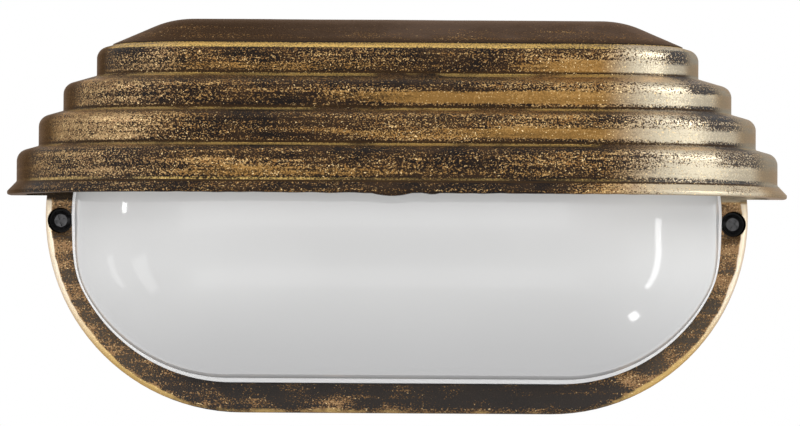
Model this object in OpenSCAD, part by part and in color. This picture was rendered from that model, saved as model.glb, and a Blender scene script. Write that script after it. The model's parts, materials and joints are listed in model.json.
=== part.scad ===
// Hooded oval bulkhead light for an outside wall.
// A cast back box carries the lamp, a cast front frame with a stepped hood holds the opal glass.
// X runs to the right along the wall, Z is up, and the light projects from the wall along -Y.
// The origin is the centre of the back face that lies on the wall.

/* [Front frame] */
// Width of the oval frame
frame_w = 240; // [225:1:260]
// Height of the oval frame
frame_h = 134.5; // [128:0.5:145]
// Depth of the frame from the seal to its front face
frame_d = 14.5; // [13:0.5:20]
// Wall of the frame's skirt
frame_wall = 3; // [2.75:0.25:3.5]
// Thickness of the frame's front face
face_t = 3.5; // [3:0.25:4.5]
// Radius on the frame's outer front edge
frame_edge_r = 2.5; // [1:0.25:3]
// Width of the ring above and below the glass
ring_w = 10.05; // [9.5:0.05:11]
// Width of the ring beside the glass
ring_end_w = 9.2; // [8.8:0.1:10]

/* [Hood] */
// Straight length of the hood's front
hood_flat = 136; // [124:1:150]
// Distance from the frame's face to the axis of the hood's round corners
hood_corner_out = 5; // [3:0.5:10]
// Radius of the lowest tier about its corner axis
tier_r = 61.4; // [58:0.2:66]
// Set-back of the third tier from the lowest one
set_back_third = 7.4; // [5:0.2:9]
// Set-back of the second tier from the third one
set_back_second = 8.3; // [6:0.2:10]
// Set-back of the top tier from the second one
set_back_top = 11.3; // [8:0.2:13]
// Height of the top tier
top_tier_h = 10.5; // [9:0.25:12]
// Slope of the tiers' shoulders in degrees
shoulder_slope = 16; // [8:0.5:18]
// Radius on the tiers' shoulders
shoulder_r = 4; // [2.5:0.25:4.5]
// Width of the top tier's shoulder
top_shoulder_w = 5.4; // [4.5:0.1:7]
// Slope of the roof in degrees
roof_slope = 23.5; // [18:0.5:26]
// Radius along the roof's ridge
roof_r = 32; // [20:1:36]
// Height of the sharp step round the roof
roof_step = 0.4; // [0.3:0.1:1.2]
// Height of the roof's ridge above the frame, less than zero where it lies lower
ridge_over = -0.5; // [-1.5:0.1:1]
// Height of the hood's lower edge above the centre line
hood_bottom = 6.5; // [5.5:0.25:9]
// Overhang of the drip lip
lip_out = 3.2; // [2:0.2:4]
// Height of the drip lip
lip_h = 4.5; // [3.5:0.25:6]
// Wall of the hood
hood_wall = 3; // [2.5:0.25:3.5]
// Radius of the casting mark on the lip
gate_r = 8; // [5:0.5:12]
// Height of the casting mark on the lip
gate_h = 1; // [0.5:0.1:1.5]

/* [Glass] */
// Reach of the glass in front of the frame's face
glass_reach = 52; // [46:0.5:56]
// Wall of the glass
glass_wall = 3; // [2.5:0.25:4]
// Radius of the glass shoulder
glass_shoulder_r = 30; // [22:0.5:34]
// Straight stretch of the glass in front of the frame's face
glass_straight = 8; // [5:0.5:10]
// Gap between the glass and the opening
glass_gap = 0.3; // [0.2:0.05:0.8]
// Width of the glass flange
glass_flange_w = 2.5; // [2:0.1:2.8]
// Thickness of the glass flange
glass_flange_t = 3; // [2.5:0.25:4]
// Thickness of the seal in front of the glass flange
glass_seal_t = 1.5; // [1:0.25:2]

/* [Back box] */
// Depth of the back box
box_d = 36; // [32:0.5:42]
// Wall of the back box
box_wall = 3; // [2.5:0.25:4]
// Width of the back box's rim
rim_w = 6.5; // [6:0.25:8]
// Depth of the back box's rim
rim_d = 6; // [4:0.5:9]
// How far the back box lies inside the frame's outline
box_inset = 0.5; // [0.25:0.25:1]
// Radius on the back box's rear edge
box_edge_r = 4; // [2:0.5:5]
// Thickness of the seal between back box and frame
box_seal_t = 1.5; // [1:0.25:2.5]
// Width of the seal between back box and frame
box_seal_w = 5.2; // [4.8:0.2:5.6]
// Distance between the wall fixing holes
fixing_spacing = 105; // [98:1:112]
// Diameter of the wall fixing holes
fixing_d = 5.5; // [4.5:0.1:6.5]
// Diameter of the cable entry in the back
entry_d = 18; // [16:0.5:20]
// Diameter of the hole through the cable grommet
grommet_hole_d = 8; // [6:0.5:10]

/* [Cover screws] */
// Distance of the cover screws from the frame's outer edge
cover_screw_inset = 5.1; // [5:0.1:5.6]
// Height of the cover screws from the centre line
cover_screw_z = -2; // [-4:0.25:-1]
// Diameter of the recess for a cover screw's head
recess_d = 8.6; // [7.8:0.1:9]
// Depth of the recess below the frame's face
recess_depth = 7; // [6:0.25:8]
// Thread diameter of the cover screws
cover_screw_d = 3.5; // [3:0.1:4]
// Head diameter of the cover screws
cover_head_d = 6.2; // [5.8:0.1:7]

/* [Lamp] */
// Distance from the wall to the lamp's axis
lamp_out = 46; // [44:0.5:52]
// Diameter of the bulb
bulb_d = 60; // [50:1:62]
// Length of the bulb
bulb_len = 108; // [98:1:114]
// Diameter of the bulb's screw cap
cap_d = 26.4; // [25.8:0.1:26.8]
// Length of the bulb's screw cap
cap_len = 27; // [25:0.5:29]
// Diameter of the lampholder
holder_d = 43; // [40:0.5:46]
// Length of the lampholder
holder_len = 46; // [44:0.5:50]
// Thickness of the lampholder's bracket
bracket_t = 1.5; // [1:0.25:2]
// Width of the lampholder's bracket
bracket_w = 40; // [38:1:44]

/* [Terminal block] */
// Distance between the poles
pole_pitch = 10; // [9.5:0.25:12]
// Length of the block along its wires
block_len = 22; // [20:0.5:26]
// Height of the block
block_h = 16; // [14:0.5:18]

/* [Hidden] */
$fn = 72;

// Colours
patina = [0.24, 0.17, 0.09];
dark_metal = [0.12, 0.10, 0.08];
opal = [0.88, 0.88, 0.87];
rubber = [0.05, 0.05, 0.05];
zinc = [0.62, 0.63, 0.64];
porcelain = [0.90, 0.88, 0.83];
brass = [0.72, 0.55, 0.24];

// Small clearances: one that only keeps faces apart, one for a screw in its hole
fit_gap = 0.1;
screw_gap = 0.25;
thread_room = 1;
cut = 1;

// Distances from the wall, measured forwards
frame_rear = box_d + box_seal_t;
face_f = frame_rear + frame_d;
face_rear_f = face_f - face_t;
flange_front_f = face_rear_f - glass_seal_t;
flange_rear_f = flange_front_f - glass_flange_t;

// Ovals
frame_half = (frame_w - frame_h) / 2;
frame_r = frame_h / 2;
opening_r = frame_r - ring_w;
opening_half = frame_w / 2 - ring_end_w - opening_r;
glass_r = opening_r - glass_gap;
flange_r = opening_r + glass_flange_w;
box_r = frame_r - box_inset;
box_inner_r = box_r - box_wall;

// Hood: radii about the corner axis and heights, from the lowest tier to the top one
hood_axis_x = hood_flat / 2;
hood_axis_f = face_f + hood_corner_out;
tier_radii = [
    tier_r,
    tier_r - set_back_third,
    tier_r - set_back_third - set_back_second,
    tier_r - set_back_third - set_back_second - set_back_top
];
roof_base_r = tier_radii[3] - top_shoulder_w;
ridge_flat = 2;
roof_bend_r = ridge_flat + roof_r * sin(roof_slope);
roof_side_h = roof_step + (roof_base_r - roof_bend_r) * tan(roof_slope);
roof_rise = roof_side_h + roof_r * (1 - cos(roof_slope));
tier_base = hood_bottom + lip_h;
tier_pitch = to_micron((frame_r + ridge_over - roof_rise - top_tier_h - tier_base) / 3);
tier_tops = [
    tier_base + tier_pitch,
    tier_base + 2 * tier_pitch,
    tier_base + 3 * tier_pitch,
    tier_base + 3 * tier_pitch + top_tier_h
];
roof_foot_z = tier_tops[3] + roof_step;
roof_bend_z = to_micron(tier_tops[3] + roof_side_h);
roof_top_z = to_micron(tier_tops[3] + roof_rise);
lip_tip = 0.6;
arc_steps = 6;

// Pads round the wall fixing holes
fixing_pad_w = 3.5;
fixing_pad_h = 3;

// Cover screws
cover_screw_x = frame_w / 2 - cover_screw_inset;
recess_f = face_f - recess_depth;
cover_boss_r = recess_d / 2 + 1.5;
box_boss_r = cover_screw_d / 2 + 2.8;
cover_washer_t = 1;
cover_head_h = 2.4;
cover_screw_depth = 20;

// Glass clips
clip_x = 38;
clip_screw_d = 2.2;
clip_head_d = 4;
clip_boss_off = frame_r - frame_wall - clip_head_d / 2 - fit_gap;
clip_boss_r = clip_boss_off - flange_r - fit_gap;
clip_w = 10;
clip_t = 0.8;
clip_lap = 4.5;
clip_screw_len = 6;

// Lamp and its holder, along X from the bracket
holder_rear_x = -91.5;
holder_front_x = holder_rear_x + holder_len;
shell_wall = 0.8;
shell_bore_r = cap_d / 2 + 0.3;
shell_len = cap_len - 3;
shell_front_x = holder_front_x - 1.5;
shell_rear_x = shell_front_x - shell_len;
cap_tip_x = shell_rear_x + 1.2;
contact_t = 0.6;
contact_w = 6;
cavity_x = shell_rear_x - 4;
bracket_pad_h = 3;
bracket_foot_f = box_wall + bracket_pad_h;
bracket_top_f = lamp_out + holder_d / 2 + 2;
bracket_foot_len = 31;
bracket_screw_x = holder_rear_x + 21;
bracket_pad_r = 5;
bracket_screw_z = bracket_w / 2 - bracket_pad_r;
bracket_screw_d = 3;
bracket_screw_clear = 2;
bracket_head_d = 5.6;
bracket_head_h = 2;
holder_screw_z = 11;
holder_screw_d = 3.5;
holder_head_d = 6.4;
holder_head_h = 2.2;
holder_screw_grip = 6;
wire_hole_x = holder_rear_x + 7;
wire_hole_z = 9;
wire_hole_r = 1.8;
wire_hole_top_f = lamp_out - 12.5;

// Terminal block
block_x = 81;
block_z = -24;
block_pad_h = 5;
block_f = box_wall + block_pad_h;
block_poles = 3;
block_w = block_poles * pole_pitch;
barrel_r = 2.6;
barrel_bore_r = 1.5;
barrel_len = block_len - 6;
barrel_f = block_f + block_h / 2;
clamp_screw_d = 2.6;
clamp_head_d = 3.8;
clamp_head_h = 2;
clamp_off = barrel_len / 2 - 3;
block_screw_d = 2.6;
block_head_d = 4.8;
block_head_h = 2;
block_pad_r = 3.4;

// Earth point
earth_x = 84;
earth_z = 24;
earth_boss_h = 9;
earth_boss_r = 5;
earth_screw_d = 4;
earth_tag_t = 0.8;
earth_washer_t = 1;
earth_f = box_wall + earth_boss_h;

// Cable entry
entry_x = 20;
entry_from_edge = 31.25;
entry_z = entry_from_edge - frame_r;
grommet_lip_w = 3;
grommet_lip_t = 2;

// Leads inside the box: [x, z, distance from the wall]
lead_r = 1.2;
lead_sides = 8;
pole_end_z = block_z + barrel_len / 2;
live_route = [
    [block_x - pole_pitch, pole_end_z, barrel_f], [block_x - pole_pitch, pole_end_z + 4, barrel_f],
    [68, -10, 12], [58, -10, 6], [40, -10, 5], [0, -10, 5], [-40, -10, 5], [-56, -10, 8],
    [-70, -9.5, 11], [-80, -9, 13], [wire_hole_x, -wire_hole_z, 19],
    [wire_hole_x, -wire_hole_z, 26], [wire_hole_x, -wire_hole_z, wire_hole_top_f]
];
neutral_route = [
    [block_x, pole_end_z, barrel_f], [block_x, pole_end_z + 5, barrel_f], [79, 2, 13], [72, 9, 8],
    [58, 10, 5], [40, 10, 5], [0, 10, 5], [-40, 10, 5], [-56, 10, 8],
    [-70, 9.5, 11], [-80, 9, 13], [wire_hole_x, wire_hole_z, 19],
    [wire_hole_x, wire_hole_z, 26], [wire_hole_x, wire_hole_z, wire_hole_top_f]
];
tag_lead_z = earth_z - 13;
earth_route = [
    [block_x + pole_pitch, pole_end_z, barrel_f], [block_x + pole_pitch, pole_end_z + 4, barrel_f],
    [90, -4, 15], [earth_x + 1, tag_lead_z - 8, earth_f + 1.6],
    [earth_x, tag_lead_z - 3, earth_f + 1.6], [earth_x, tag_lead_z - fit_gap, earth_f + 1.6]
];

// Stands a shape drawn in the plane of the wall up on the wall, with its own z running forwards.
module on_wall() {
    rotate([90, 0, 0]) children();
}

// Oval with round ends, drawn in the plane of the wall.
module oval(half, r) {
    square([2 * half, 2 * r], center = true);
    for (side = [-1, 1])
        translate([side * half, 0]) circle(r);
}

// Sweeps a profile round an oval: x of the profile runs outwards, y runs forwards.
module oval_sweep(half) {
    for (side = [-1, 1])
        translate([side * half, 0, 0])
            rotate([0, 0, -90 * side])
                rotate_extrude(angle = 180) children();
    for (turn = [0, 180])
        rotate([0, 0, turn])
            translate([-half, 0, 0])
                rotate([90, 0, 90])
                    linear_extrude(2 * half) children();
}

// Pan-head screw with a cross recess. Its head sits at z = 0 and its shank points down.
module pan_screw(thread_d, length, head_d, head_h) {
    slot_w = head_d * 0.16;
    slot_l = head_d * 0.62;
    difference() {
        union() {
            translate([0, 0, -length]) cylinder(d = thread_d, h = length);
            cylinder(d = head_d, h = head_h * 0.55);
            translate([0, 0, head_h * 0.55])
                cylinder(d1 = head_d, d2 = head_d * 0.7, h = head_h * 0.45);
        }
        for (turn = [0, 90])
            rotate([0, 0, turn])
                translate([-slot_l / 2, -slot_w / 2, head_h * 0.4])
                    cube([slot_l, slot_w, head_h]);
    }
}

// Places a shape at both cover screws.
module at_cover_screws() {
    for (side = [-1, 1])
        translate([side * cover_screw_x, cover_screw_z, 0]) children();
}

// Places a shape at the four glass clips, with its y pointing away from the glass.
module at_clips() {
    for (side = [-1, 1], turn = [0, 180])
        rotate([0, 0, turn]) translate([side * clip_x, 0, 0]) children();
}

// A length to the nearest micrometre, so that faces worked out in two ways still meet.
function to_micron(v) = round(v * 1000) / 1000;

// Points of one tier's shoulder at a given inset from the hood's outside:
// [wall radius, centre of the rounding, tangent point on the slope, foot of the tier above].
function shoulder(i, inset) =
    let (
        round_r = shoulder_r - inset / 2,
        wall_r = tier_radii[i] - inset,
        foot_r = (i < 3 ? tier_radii[i + 1] : roof_base_r) - inset,
        foot_z = tier_tops[i] - inset,
        centre_r = wall_r - round_r,
        line_z = foot_z - (centre_r - foot_r) * tan(shoulder_slope),
        centre_z = line_z - round_r / cos(shoulder_slope)
    )
    [
        [wall_r, centre_z], [centre_r, centre_z],
        [centre_r + round_r * sin(shoulder_slope), centre_z + round_r * cos(shoulder_slope)],
        [foot_r, foot_z]
    ];

// Points along an arc about a centre, from one angle to another.
function arc(centre, r, from, to) = [
    for (i = [0 : arc_steps])
        let (angle = from + (to - from) * i / arc_steps)
        centre + r * [cos(angle), sin(angle)]
];

// Line up the stepped outside of the hood, over its shoulders to the ridge of its roof.
function outer_line() = [
    for (i = [0 : 3]) each concat(
        arc(shoulder(i, 0)[1], shoulder_r, 0, 90 - shoulder_slope), [shoulder(i, 0)[3]]
    ),
    [roof_base_r, roof_foot_z],
    each arc([ridge_flat, roof_top_z - roof_r], roof_r, 90 - roof_slope, 90),
    [0, roof_top_z]
];

// Line up the stepped inside of the hood, with a bevel in place of each rounding.
function inner_line() = [
    for (i = [0 : 3], k = [0, 2, 3]) shoulder(i, hood_wall)[k],
    [roof_bend_r, roof_bend_z - hood_wall], [0, roof_bend_z - hood_wall]
];

// Line round the drip lip, from its underside to the lowest tier.
function lip_line() = [
    [tier_r + lip_out - lip_tip, hood_bottom], [tier_r + lip_out, hood_bottom + lip_tip],
    [tier_r + lip_out, hood_bottom + 2 * lip_tip], [tier_r, tier_base]
];

// Section of the hood's shell: x is the radius about the corner axis and y is the height.
module shell_section() {
    inner = inner_line();
    polygon(concat(
        [[tier_r - hood_wall, hood_bottom]], lip_line(), outer_line(),
        [for (i = [len(inner) - 1 : -1 : 0]) inner[i]]
    ));
}

// Sweeps a section round the hood: two round corners, the front and the short straight sides.
module hood_sweep() {
    for (side = [0, 1])
        mirror([side, 0, 0]) {
            translate([hood_axis_x, -hood_axis_f, 0])
                rotate([0, 0, -90]) rotate_extrude(angle = 90) children();
            translate([hood_axis_x, -face_f, 0])
                rotate([90, 0, 0]) linear_extrude(hood_corner_out) children();
        }
    along_front() children();
}

// Draws a section out along the hood's straight front.
module along_front() {
    translate([hood_axis_x, -hood_axis_f, 0])
        rotate([0, 0, -90]) rotate([90, 0, 0]) linear_extrude(hood_flat) children();
}

// Section of the flat ridge between the corner axes and the frame's face.
module ridge_section() {
    polygon([
        [-hood_corner_out, roof_bend_z - hood_wall], [0, roof_bend_z - hood_wall],
        [0, roof_top_z], [-hood_corner_out, roof_top_z]
    ]);
}

// Front outline of the hood, for the plate that closes it towards the wall.
module hood_outline() {
    for (side = [0, 1])
        mirror([side, 0]) translate([hood_axis_x, 0])
            polygon(concat([[0, hood_bottom]], lip_line(), outer_line()));
    polygon([
        [-hood_axis_x, hood_bottom], [hood_axis_x, hood_bottom],
        [hood_axis_x, roof_top_z], [-hood_axis_x, roof_top_z]
    ]);
}

// Front frame: the oval ring and the stepped hood, cast in one piece.
module front_frame() {
    color(patina)
    difference() {
        union() {
            on_wall() frame_ring();
            hood_sweep() shell_section();
            along_front() ridge_section();
            gate_mark();
        }
        on_wall() frame_cuts();
    }
}

// The ring of the front frame with its skirt, screw bosses and clip bosses.
module frame_ring() {
    translate([0, 0, frame_rear]) oval_sweep(frame_half) skirt_section();
    translate([0, 0, face_rear_f]) linear_extrude(face_t) difference() {
        union() {
            oval(frame_half, frame_r - (frame_wall + frame_edge_r) / 2);
            hood_outline();
        }
        oval(opening_half, opening_r);
    }
    translate([0, 0, frame_rear]) linear_extrude(frame_d - face_t) difference() {
        intersection() {
            at_cover_screws() circle(cover_boss_r);
            oval(frame_half, frame_r - frame_wall / 2);
        }
        oval(opening_half, opening_r);
    }
    translate([0, 0, flange_rear_f])
        linear_extrude(face_rear_f - flange_rear_f + face_t / 2)
            at_clips() {
                translate([0, clip_boss_off]) circle(clip_boss_r);
                translate([-clip_boss_r, clip_boss_off])
                    square([2 * clip_boss_r, frame_r - frame_wall / 2 - clip_boss_off]);
            }
}

// Section of the skirt, with the rounded outer edge of the front face.
module skirt_section() {
    bend_r = frame_r - frame_edge_r;
    bend_f = frame_d - frame_edge_r;
    polygon([
        [frame_r - frame_wall, 0], [frame_r, 0], [frame_r, bend_f], [bend_r, bend_f],
        [bend_r, frame_d], [frame_r - frame_wall, frame_d]
    ]);
    translate([bend_r, bend_f]) intersection() {
        circle(frame_edge_r);
        square(2 * frame_edge_r);
    }
}

// Holes through the front frame: recesses and holes for the cover screws, holes for the clips.
module frame_cuts() {
    at_cover_screws() {
        translate([0, 0, recess_f]) cylinder(d = recess_d, h = recess_depth + cut);
        translate([0, 0, frame_rear - cut])
            cylinder(d = cover_screw_d + 2 * screw_gap, h = frame_d);
    }
    at_clips() translate([0, clip_boss_off, flange_rear_f - cut])
        cylinder(d = clip_screw_d, h = clip_screw_len + cut);
}

// Stub of the casting gate, left on the lip at the middle of the hood.
module gate_mark() {
    lip_front_f = hood_axis_f + tier_r;
    intersection() {
        translate([0, -lip_front_f + hood_wall, hood_bottom + gate_r - gate_h])
            rotate([90, 0, 0]) cylinder(r = gate_r, h = hood_wall + lip_out / 2);
        translate([-gate_r, -lip_front_f - lip_out, hood_bottom - gate_h])
            cube([2 * gate_r, lip_out + hood_wall, gate_h + lip_tip]);
    }
}

// Section of the glass about the axis of its round ends, at a given inset from its outside.
module glass_section(inset, low) {
    r = glass_r - inset;
    small_r = glass_shoulder_r - inset;
    bend_f = face_f + glass_straight;
    rise = glass_reach - glass_straight - inset;
    run = r - small_r;
    crown_r = (run * run + rise * rise - small_r * small_r) / (2 * (rise - small_r));
    crown_f = bend_f + rise - crown_r;
    reach_ratio = crown_r / (crown_r - small_r);
    polygon([
        [0, low], [r, low], [r, bend_f],
        [run, bend_f],
        [run * reach_ratio, crown_f + (bend_f - crown_f) * reach_ratio],
        [0, crown_f + (bend_f - crown_f) * reach_ratio]
    ]);
    translate([run, bend_f]) intersection() {
        circle(small_r);
        square([small_r, small_r]);
    }
    intersection() {
        translate([0, crown_f]) circle(crown_r);
        translate([0, crown_f + (bend_f - crown_f) * reach_ratio - cut])
            square([run * reach_ratio, crown_r]);
    }
}

// Outline of the glass flange, notched where the cover screws pass.
module flange_outline(r) {
    difference() {
        oval(opening_half, r);
        at_cover_screws() circle(cover_boss_r + glass_gap);
    }
}

// Opal glass: a deep oval bowl with a flange that lies behind the frame's face.
module opal_glass() {
    color(opal) on_wall() difference() {
        union() {
            oval_sweep(opening_half) glass_section(0, flange_rear_f);
            translate([0, 0, flange_rear_f])
                linear_extrude(glass_flange_t) flange_outline(flange_r);
        }
        oval_sweep(opening_half) glass_section(glass_wall, flange_rear_f - cut);
    }
}

// Seal between the glass flange and the frame's face.
module glass_seal() {
    color(rubber) on_wall() translate([0, 0, flange_front_f])
        linear_extrude(glass_seal_t) difference() {
            flange_outline(flange_r);
            oval(opening_half, opening_r);
        }
}

// Flat seal between the back box and the frame.
module box_seal() {
    color(rubber) on_wall() translate([0, 0, box_d]) linear_extrude(box_seal_t) difference() {
        oval(frame_half, box_r);
        difference() {
            oval(frame_half, box_r - box_seal_w);
            at_cover_screws() circle(box_boss_r);
        }
        at_cover_screws() circle(d = cover_screw_d + 2 * screw_gap);
    }
}

// Spring plates that hold the glass flange against its seal.
module glass_clips() {
    inner = flange_r - clip_lap;
    outer = frame_r - frame_wall - fit_gap;
    color(zinc) on_wall() at_clips() translate([0, 0, flange_rear_f - clip_t])
        linear_extrude(clip_t) difference() {
            translate([-clip_w / 2, inner]) square([clip_w, outer - inner]);
            translate([0, clip_boss_off]) circle(d = clip_screw_d + screw_gap);
        }
}

module clip_screws() {
    color(zinc) on_wall() at_clips()
        translate([0, clip_boss_off, flange_rear_f - clip_t]) rotate([180, 0, 0])
            pan_screw(clip_screw_d - fit_gap, clip_screw_len, clip_head_d, 1.6);
}

// The two screws that hold the front frame to the back box.
module cover_screws() {
    seat = recess_f + cover_washer_t;
    color(zinc) on_wall() at_cover_screws() translate([0, 0, seat])
        pan_screw(cover_screw_d, seat - box_d + cover_screw_depth - cut, cover_head_d, cover_head_h);
}

module cover_screw_washers() {
    color(rubber) on_wall() at_cover_screws() translate([0, 0, recess_f]) difference() {
        cylinder(d = recess_d - 2 * screw_gap, h = cover_washer_t);
        translate([0, 0, -cut])
            cylinder(d = cover_screw_d + screw_gap, h = cover_washer_t + 2 * cut);
    }
}

// Section of the back box: floor, wall with a rounded rear edge, and rim.
module box_section() {
    bend_r = box_r - box_edge_r;
    rim_r = box_r - rim_w;
    square([bend_r, box_wall]);
    polygon([
        [box_inner_r, box_edge_r], [box_r, box_edge_r], [box_r, box_d],
        [rim_r, box_d], [rim_r, box_d - rim_d], [box_inner_r, box_d - rim_d]
    ]);
    translate([bend_r, box_edge_r]) intersection() {
        circle(box_edge_r);
        translate([0, -2 * box_edge_r]) square(2 * box_edge_r);
    }
}

// Round pads and bosses on the floor of the back box.
module box_bosses() {
    intersection() {
        at_cover_screws() cylinder(r = box_boss_r, h = box_d);
        linear_extrude(box_d) oval(frame_half, box_r - box_edge_r / 2);
    }
    for (side = [-1, 1])
        translate([side * fixing_spacing / 2, 0, 0])
            cylinder(d = fixing_d + 2 * fixing_pad_w, h = box_wall + fixing_pad_h);
    at_bracket_screws() cylinder(r = bracket_pad_r, h = bracket_foot_f);
    at_block_screws() cylinder(r = block_pad_r, h = block_f);
    translate([earth_x, earth_z, 0]) cylinder(r = earth_boss_r, h = earth_f);
}

module at_bracket_screws() {
    for (side = [-1, 1])
        translate([bracket_screw_x, side * bracket_screw_z, 0]) children();
}

module at_block_screws() {
    for (side = [-1, 1])
        translate([block_x + side * pole_pitch / 2, block_z, 0]) children();
}

// Back box: the cast pan that is fixed to the wall.
module back_box() {
    pilot_floor = 1;
    color(dark_metal) on_wall() difference() {
        union() {
            oval_sweep(frame_half) box_section();
            box_bosses();
        }
        for (side = [-1, 1])
            translate([side * fixing_spacing / 2, 0, -cut]) cylinder(d = fixing_d, h = box_d);
        translate([entry_x, entry_z, -cut]) cylinder(d = entry_d, h = box_d);
        at_cover_screws() translate([0, 0, box_d - cover_screw_depth])
            cylinder(d = cover_screw_d + fit_gap, h = cover_screw_depth + cut);
        at_bracket_screws() translate([0, 0, pilot_floor])
            cylinder(d = bracket_screw_d + fit_gap, h = box_d);
        at_block_screws() translate([0, 0, pilot_floor])
            cylinder(d = block_screw_d + fit_gap, h = box_d);
        translate([earth_x, earth_z, pilot_floor])
            cylinder(d = earth_screw_d + fit_gap, h = box_d);
    }
}

// Folded bracket that carries the lampholder.
module holder_bracket() {
    color(zinc) on_wall() difference() {
        union() {
            translate([holder_rear_x - bracket_t, -bracket_w / 2, bracket_foot_f])
                cube([bracket_t, bracket_w, bracket_top_f - bracket_foot_f]);
            translate([holder_rear_x - bracket_t, -bracket_w / 2, bracket_foot_f])
                cube([bracket_foot_len, bracket_w, bracket_t]);
        }
        at_bracket_screws() translate([0, 0, bracket_foot_f - cut])
            cylinder(d = bracket_screw_d + 2 * screw_gap, h = bracket_t + 2 * cut);
        at_holder_screws() translate([0, 0, -cut])
            cylinder(d = holder_screw_d + 2 * screw_gap, h = bracket_t + 2 * cut);
    }
}

// Places a shape at the holder screws, with its z running along the lamp from the bracket's rear.
module at_holder_screws() {
    for (side = [-1, 1])
        translate([holder_rear_x - bracket_t, side * holder_screw_z, lamp_out])
            rotate([0, 90, 0]) children();
}

module bracket_screws() {
    color(zinc) on_wall() at_bracket_screws() translate([0, 0, bracket_foot_f + bracket_t])
        pan_screw(
            bracket_screw_d, bracket_foot_f + bracket_t - bracket_screw_clear,
            bracket_head_d, bracket_head_h
        );
}

module holder_screws() {
    color(zinc) on_wall() at_holder_screws() rotate([180, 0, 0])
        pan_screw(holder_screw_d, bracket_t + holder_screw_grip, holder_head_d, holder_head_h);
}

// Turns a section about the lamp's axis: x of the section is the radius, y runs along the lamp.
module lamp_turn(x) {
    translate([x, 0, lamp_out]) rotate([0, 90, 0]) rotate_extrude() children();
}

// Glazed porcelain lampholder with a waist, a cavity for the screw shell and two wire holes.
module lampholder() {
    waist_r = holder_d / 2 - 2.5;
    lip_len = 12;
    color(porcelain) on_wall() difference() {
        lamp_turn(holder_rear_x) {
            square([waist_r, holder_len - lip_len]);
            translate([0, holder_len - lip_len]) square([holder_d / 2, lip_len]);
        }
        lamp_turn(cavity_x)
            square([shell_bore_r + shell_wall + fit_gap, holder_len]);
        at_holder_screws() translate([0, 0, -cut])
            cylinder(
                d = holder_screw_d + fit_gap, h = bracket_t + holder_screw_grip + thread_room + cut
            );
        for (side = [-1, 1])
            translate([wire_hole_x, side * wire_hole_z, box_wall])
                cylinder(r = wire_hole_r, h = wire_hole_top_f - box_wall);
    }
}

// Brass screw shell inside the lampholder, rolled outwards at its mouth.
module screw_shell() {
    color(brass) on_wall() lamp_turn(shell_rear_x) {
        translate([shell_bore_r, 0]) square([shell_wall, shell_len]);
    }
}

// Spring tongue that meets the tip of the bulb.
module centre_contact() {
    tongue_l = 16;
    bend_h = cap_tip_x - cavity_x - contact_t - fit_gap;
    color(brass) on_wall() translate([cavity_x, -contact_w / 2, lamp_out]) {
        translate([0, 0, -tongue_l / 2]) cube([contact_t, contact_w, tongue_l]);
        translate([0, 0, -tongue_l / 2]) cube([bend_h, contact_w, contact_t]);
        translate([bend_h, 0, -tongue_l / 2]) cube([contact_t, contact_w, tongue_l * 0.75]);
    }
}

// Bulb: one sealed piece, from the tip of its cap to its round end.
module bulb() {
    ball_r = bulb_d / 2;
    ball_y = bulb_len - ball_r;
    neck_r = cap_d / 2 - 0.4;
    tip_r = 4.5;
    tip_len = 3;
    ridges = 6;
    ridge_r = 1.2;
    ridge_pitch = (cap_len - tip_len - 6) / ridges;
    reach = ball_y - cap_len;
    lean = atan((ball_r - neck_r) / reach) * 0.9;
    color(opal) on_wall() lamp_turn(cap_tip_x) {
        square([tip_r, tip_len + cut]);
        polygon([
            [0, tip_len], [tip_r, tip_len], [neck_r - ridge_r / 2, tip_len + 4],
            [neck_r - ridge_r / 2, cap_len], [neck_r, cap_len],
            [ball_r * cos(lean), ball_y - ball_r * sin(lean)], [0, ball_y]
        ]);
        for (i = [0 : ridges - 1])
            translate([neck_r + 0.4 - ridge_r, tip_len + 5 + ridge_pitch * (i + 0.5)])
                circle(ridge_r);
        translate([0, ball_y]) intersection() {
            circle(ball_r);
            translate([0, -ball_r]) square([ball_r, 2 * ball_r]);
        }
    }
}

// Terminal block: a porcelain body with one hole for each pole.
module terminal_block() {
    color(porcelain) on_wall() difference() {
        translate([block_x - block_w / 2, block_z - block_len / 2, block_f])
            cube([block_w, block_len, block_h]);
        at_poles() translate([0, 0, -block_len / 2 - cut])
            cylinder(r = barrel_r + fit_gap, h = block_len + 2 * cut);
        at_clamps() cylinder(d = clamp_head_d + 2 * screw_gap, h = block_h);
        at_block_screws() translate([0, 0, block_f - cut])
            cylinder(d = block_screw_d + screw_gap, h = block_h + 2 * cut);
    }
}

// Places a shape at each pole, with its z running along the wires.
module at_poles() {
    for (i = [0 : block_poles - 1])
        translate([block_x + (i - (block_poles - 1) / 2) * pole_pitch, block_z, barrel_f])
            rotate([90, 0, 0]) children();
}

// Places a shape at each clamping screw, with its z running forwards from the barrel's axis.
module at_clamps() {
    for (i = [0 : block_poles - 1], side = [-1, 1])
        translate([
            block_x + (i - (block_poles - 1) / 2) * pole_pitch,
            block_z + side * clamp_off, barrel_f
        ]) children();
}

module terminal_barrels() {
    color(brass) on_wall() difference() {
        at_poles() translate([0, 0, -barrel_len / 2]) cylinder(r = barrel_r, h = barrel_len);
        at_poles() translate([0, 0, -barrel_len / 2 - cut])
            cylinder(r = barrel_bore_r, h = barrel_len + 2 * cut);
        at_clamps() cylinder(d = clamp_screw_d + fit_gap, h = barrel_r + cut);
    }
}

module terminal_screws() {
    color(zinc) on_wall() at_clamps() translate([0, 0, barrel_r + fit_gap])
        pan_screw(clamp_screw_d, barrel_r + fit_gap, clamp_head_d, clamp_head_h);
}

module block_screws() {
    color(zinc) on_wall() at_block_screws() translate([0, 0, block_f + block_h])
        pan_screw(block_screw_d, block_h + block_pad_h + thread_room, block_head_d, block_head_h);
}

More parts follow.
